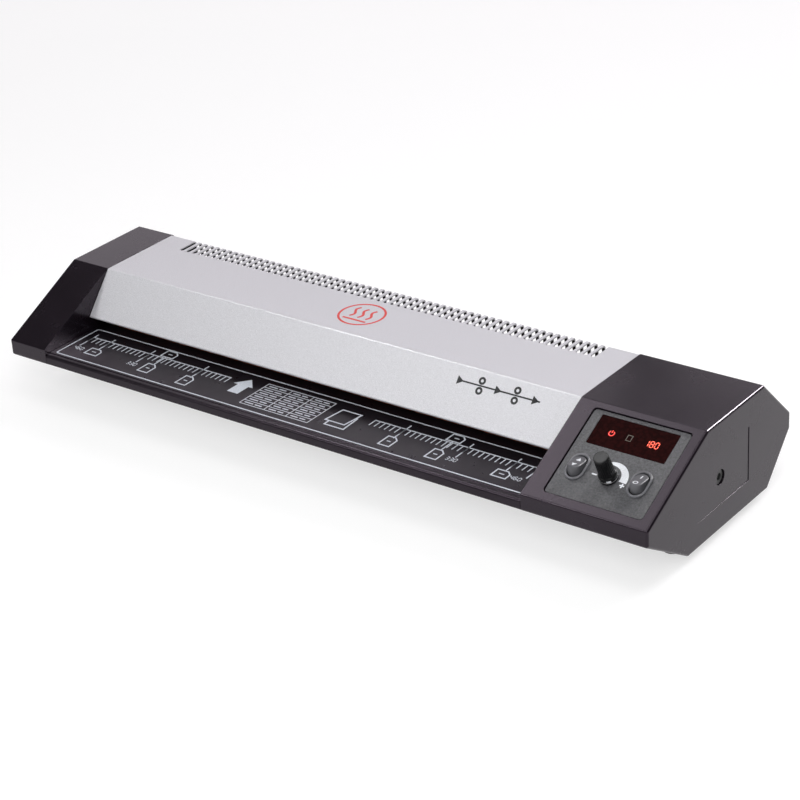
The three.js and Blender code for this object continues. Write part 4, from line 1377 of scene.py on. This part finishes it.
def knob_painted_glint():
    """A short white bar round the skirt's side, drawn as print but a painted highlight of the skirt's
    glint, and a dot on the disc opposite it.
    """
    place = across_slope(KNOB_X, KNOB_S)
    start, end = SKIRT_GLINT_TURN - 0.24, SKIRT_GLINT_TURN + 0.24
    face = arc((0, 0), KNOB_SKIRT + 0.08, start, end, 8)
    back = arc((0, 0), KNOB_SKIRT - 0.04, end, start, 8)
    rings = [[place(u, v, PANEL_H + h) for u, v in face + back] for h in (3.4, 5.2)]
    # painted highlight: a white bar where the skirt shows a glint
    glint_bar = loft("knob_painted_glint", rings)
    place_piece(glint_bar, "white_print", "knob_assembly")
    dot_x = KNOB_X - 3 * math.cos(SKIRT_GLINT_TURN)
    dot_s = KNOB_S + 3 * math.sin(SKIRT_GLINT_TURN)
    low = PANEL_H + KNOB_TOP + 0.45
    dot = turned("knob_dot", [(0, low), (0.55, low), (0.5, low + 0.14), (0, low + 0.14)],
                 across_slope(dot_x, dot_s), 24)
    place_piece(dot, "black_plastic", "knob_assembly")


def display_marks():
    """What the display shows: a power sign, a dim sheet sign and a temperature."""
    lit = Marks(on_panel, thickness=0.05, base=0.01)
    lit.digits("180", WINDOW["x"] + 16.4, WINDOW["s"] + 0.4, 5.4, 0.125, up=-1)
    lit.place("display_digits", "lit_digits")
    power = Marks(on_panel, thickness=0.05, base=0.01)
    x, s = WINDOW["x"] - 18.2, WINDOW["s"] + 0.4
    bow = arc((0, 0), 2.2, math.radians(125), math.radians(415), 24)
    power.path([(x + u, s - v) for u, v in bow], 0.9)
    power.line((x, s - 2.9), (x, s - 0.4), 0.9)
    power.place("power_icon", "lit_digits", material="lit_icon")
    sheet = Marks(on_panel, thickness=0.05, base=0.01)
    x = WINDOW["x"] - 2.9
    corners = [(-2, 2.5), (2, 2.5), (2, -2.5), (-2, -2.5)]
    sheet.path(moved(corners, x, s), 0.6, is_closed=True)
    sheet.place("sheet_icon", "lit_digits", material="dim_icon")


# ------------------------------------------------------------------ rollers and the inside

ROLLER_BORE = 10
JOURNAL_RADIUS = 4
ROLLERS = ("lower_rear", "upper_rear", "lower_front", "upper_front")


def middle_of(node):
    low, high = box_mm(node)
    return (low + high) / 2


def roller(name):
    """A silicone sleeve on a steel shaft, which steps down to its two journals."""
    low, high = box_mm(f"{name}_roller")
    axis = middle_of(f"{name}_roller")
    place = across_x(axis.y, axis.z)
    radius = (high.z - low.z) / 2
    bore = ROLLER_BORE
    sleeve = turned(f"{name}_sleeve", [
        (bore, low.x), (radius - 0.8, low.x), (radius - 0.2, low.x + 0.2), (radius, low.x + 0.8),
        (radius, high.x - 0.8), (radius - 0.2, high.x - 0.2), (radius - 0.8, high.x), (bore, high.x),
    ], place, 72, closed=True)
    body = f"{name}_roller_set"
    place_piece(sleeve, "silicone", body, [f"{name}_roller"])
    start, end = box_mm(f"{name}_shaft")
    thin = JOURNAL_RADIUS
    shaft = turned(f"{name}_core", [
        (0, start.x), (thin - 0.6, start.x), (thin, start.x + 0.6), (thin, low.x),
        (bore - 0.5, low.x), (bore - 0.3, low.x + 0.2), (bore - 0.3, high.x - 0.2),
        (bore - 0.5, high.x), (thin, high.x), (thin, end.x - 0.6), (thin - 0.6, end.x), (0, end.x),
    ], place, 48)
    place_piece(shaft, "steel", body, [f"{name}_shaft"])


def bearing(name, end):
    """A flanged bronze bush with a chamfered mouth."""
    node = f"{name}_bearing_{end}"
    low, high = box_mm(node)
    axis = middle_of(node)
    inner = JOURNAL_RADIUS + 0.15
    flange = (high.z - low.z) / 2
    body = flange - 1.5
    length = high.x - low.x
    # radius and distance from the outer end to the flanged face
    profile = [
        (inner, 0.4), (inner + 0.4, 0), (body - 0.4, 0), (body, 0.4),
        (body, length - 1.7), (flange - 0.3, length - 1.7), (flange, length - 1.4),
        (flange, length - 0.3), (flange - 0.3, length), (inner + 0.4, length), (inner, length - 0.4),
    ]
    start, inward = (low.x, 1) if end == "left" else (high.x, -1)
    heights = [(r, start + inward * x) for r, x in profile]
    bush = turned(f"{name}_bush_{end}", heights, across_x(axis.y, axis.z), 48, closed=True)
    place_piece(bush, "bronze", replaces=[node])


def gear_motor():
    """A motor can with a stepped gearbox face, and two terminal blades on its block."""
    low, high = box_mm("gear_motor")
    axis = middle_of("motor_pinion")
    radius = 18
    can = turned("motor_can", [
        (0, low.x), (7, low.x), (7.5, low.x + 0.5), (radius - 1, low.x + 0.5),
        (radius, low.x + 1.5), (radius, low.x + 9), (radius - 0.4, low.x + 9.4),
        (radius - 0.4, low.x + 9.8), (radius, low.x + 10.2),
        (radius, high.x - 2), (radius - 0.6, high.x - 0.6), (radius - 2, high.x), (6, high.x),
        (5.6, high.x - 0.6), (0, high.x - 0.6),
    ], across_x(axis.y, axis.z), 64)
    place_piece(can, "zinc_steel", replaces=["gear_motor"])
    corners = (low.x + 8, axis.y - 8, axis.z + 15), (low.x + 20, axis.y + 8, high.z - 3)
    block = box_object("motor_block", *corners)
    soften(block, 0.5, 2)
    place_piece(block, "black_plastic")
    for index, y in enumerate((axis.y - 4.5, axis.y + 4.5)):
        corners = (low.x + 11, y - 0.4, high.z - 3.5), (low.x + 17, y + 0.4, high.z)
        blade = box_object(f"motor_terminal_{index + 1}", *corners)
        soften(blade, 0.15, 1)
        place_piece(blade, "steel")


CAD_EDGE_ANGLE = 35


def dress(nodes, material, width=0.3, segments=2):
    """Keeps CAD nodes, with rounded edges and a finish."""
    for name in nodes:
        obj = frame["nodes"][name]
        bevel_edges(obj, width, segments, CAD_EDGE_ANGLE)
        finish_surface(obj, material, CAD_EDGE_ANGLE)


def inside():
    for name in ROLLERS:
        roller(name)
        bearing(name, "left")
        bearing(name, "right")
    gear_motor()
    dress([f"{name}_gear" for name in (*ROLLERS, "idler")], "nylon", 0.2)
    dress(["motor_pinion"], "nylon", 0.15)
    dress(["side_frame_left", "side_frame_right"], "zinc_steel", 0.2)
    dress(["upper_heat_shield", "lower_heat_shield"], "zinc_steel", 0.15, 1)
    dress(["pressure_spring_left", "pressure_spring_right"], "steel", 0.15, 1)
    dress(["idler_pin", "transformer"], "steel", 0.4)
    dress(["upper_heating_bar", "lower_heating_bar", "knob_shaft"], "aluminium", 0.25)
    dress(["thermal_cutout"], "black_plastic", 0.4)
    dress(["potentiometer"], "zinc_steel", 0.3)
    dress(["display_board", "control_board"], "circuit_board", 0.2)


# ------------------------------------------------------------------ floor, light and camera


WHITE = (1, 1, 1)
ROSE = (1, 0.93, 1)
# name, place, aim, width and height in metres, power in watts, colour
LAMPS = [
    ("back_top", (0.2, 1.0, 1.3), (0.05, 0, 0.05), 1.6, 0.6, 6, ROSE),
    ("overhead", (0.5, -0.35, 1.6), (0.3, -0.1, 0), 0.9, 0.9, 9, WHITE),
    ("back_left", (-1.9, 1.4, 0.75), (-0.3, 0, 0.1), 2.1, 1.5, 10, ROSE),
    ("back_right", (0.2, 1.9, 0.7), (0.1, 0, 0.1), 2.0, 0.9, 6.5, ROSE),
    ("front_left", (-0.9, -1.5, 1.1), (0, 0, 0.05), 0.6, 0.4, 11, WHITE),
    ("front_right", (0.9, -1.2, 1.2), (0.2, 0, 0.05), 0.6, 0.6, 13, WHITE),
]
# strip lights that show in reflections only
SHEENS = [
    ("panel_sheen", (-0.16, -0.16, 0.83), (0.04, -0.16, 0), 0.66, 0.32, 2, WHITE),
    ("edge_sheen", (0.6, 0.8, 0.79), (0.28, 0.02, 0.09), 0.42, 0.26, 26, WHITE),
    ("fold_sheen", (-0.58, 0.08, 0.95), (0, -0.02, 0.1), 0.36, 0.12, 3.5, WHITE),
]


def emit(name, location, aim, width, height, power, color):
    light = bpy.data.lights.new(name, "AREA")
    light.shape = "RECTANGLE"
    light.size = width
    light.size_y = height
    light.energy = power
    light.color = color
    obj = linked(name, light)
    obj.location = location
    direction = Vector(aim) - Vector(location)
    obj.rotation_euler = direction.to_track_quat("-Z", "Y").to_euler()
    return obj


def floor():
    """A pale plane, bright enough to meet its own background without an edge."""
    reach = 8000
    corners = [(-reach, -reach, 0), (reach, -reach, 0), (reach, reach, 0), (-reach, reach, 0)]
    plane = object_from("floor", corners, [(0, 1, 2, 3)], is_closed=False)
    finish = Finish("floor", (0.4, 0.4, 0.4), 0.8)
    finish.set("Emission Color", (1, 1, 1, 1))
    finish.set("Emission Strength", 0.66)
    finish.vary_color(finish.noise(8, 2), 0.99, 1.0)
    plane.data.materials.append(finish.material)
    plane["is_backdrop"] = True


def lighting():
    """A dim world, soft lamps all round, and strips for the highlights."""
    world = bpy.data.worlds.new("studio")
    bpy.context.scene.world = world
    world.use_nodes = True
    background = world.node_tree.nodes["Background"]
    background.inputs["Color"].default_value = (1, 1, 1, 1)
    background.inputs["Strength"].default_value = 0.06
    for lamp in LAMPS:
        emit(*lamp)
    for sheen in SHEENS:
        emit(*sheen).visible_diffuse = False
    bpy.context.scene.view_settings.view_transform = "Standard"


# angles round the object, then millimetres, and the lens for a sensor 36 mm wide
CAMERA = {
    "azimuth": math.radians(38.206),
    "elevation": math.radians(26.930),
    "roll": math.radians(-3.645),
    "distance": 1856.8,
    "target": (42.31, -28.75, 57),
    "lens": 104.634,
}


def camera():
    """Looks down on the object from the right of its front, with a slight roll."""
    turn, rise, roll = CAMERA["azimuth"], CAMERA["elevation"], CAMERA["roll"]
    level = math.cos(rise)
    back = Vector((math.sin(turn) * level, -math.cos(turn) * level, math.sin(rise)))
    right = Vector((math.cos(turn), math.sin(turn), 0))
    up = back.cross(right)
    rolled_right = right * math.cos(roll) + up * math.sin(roll)
    rolled_up = up * math.cos(roll) - right * math.sin(roll)
    data = bpy.data.cameras.new("camera")
    data.lens = CAMERA["lens"]
    data.sensor_width = 36
    obj = linked("camera", data)
    location = (Vector(CAMERA["target"]) + back * CAMERA["distance"]) * MM
    axes = Matrix((rolled_right, rolled_up, back)).transposed()
    obj.matrix_world = Matrix.Translation(location) @ axes.to_4x4()
    bpy.context.scene.camera = obj


def write_sizes():
    """The frame's box and the finished object's box, in metres."""
    boxes = {"cad": cad_box, "visual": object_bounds()}
    sizes = {name: [list(corner) for corner in box] for name, box in boxes.items()}


camera()
end_caps()
side_plug()
cord_gland()
top_cover()
vent_painted_shade()
feed_tray()
exit_tray()
base_pan()
feet()
panel_plate()
display_window()
for switch, place in ROCKER_X.items():
    switch_housing(switch, place)
    rocker_button(switch, place)
knob()
knob_painted_glint()
tray_marks()
heat_symbol()
front_graphic()
panel_marks()
rocker_marks()
display_marks()
inside()
floor()
lighting()
write_sizes()
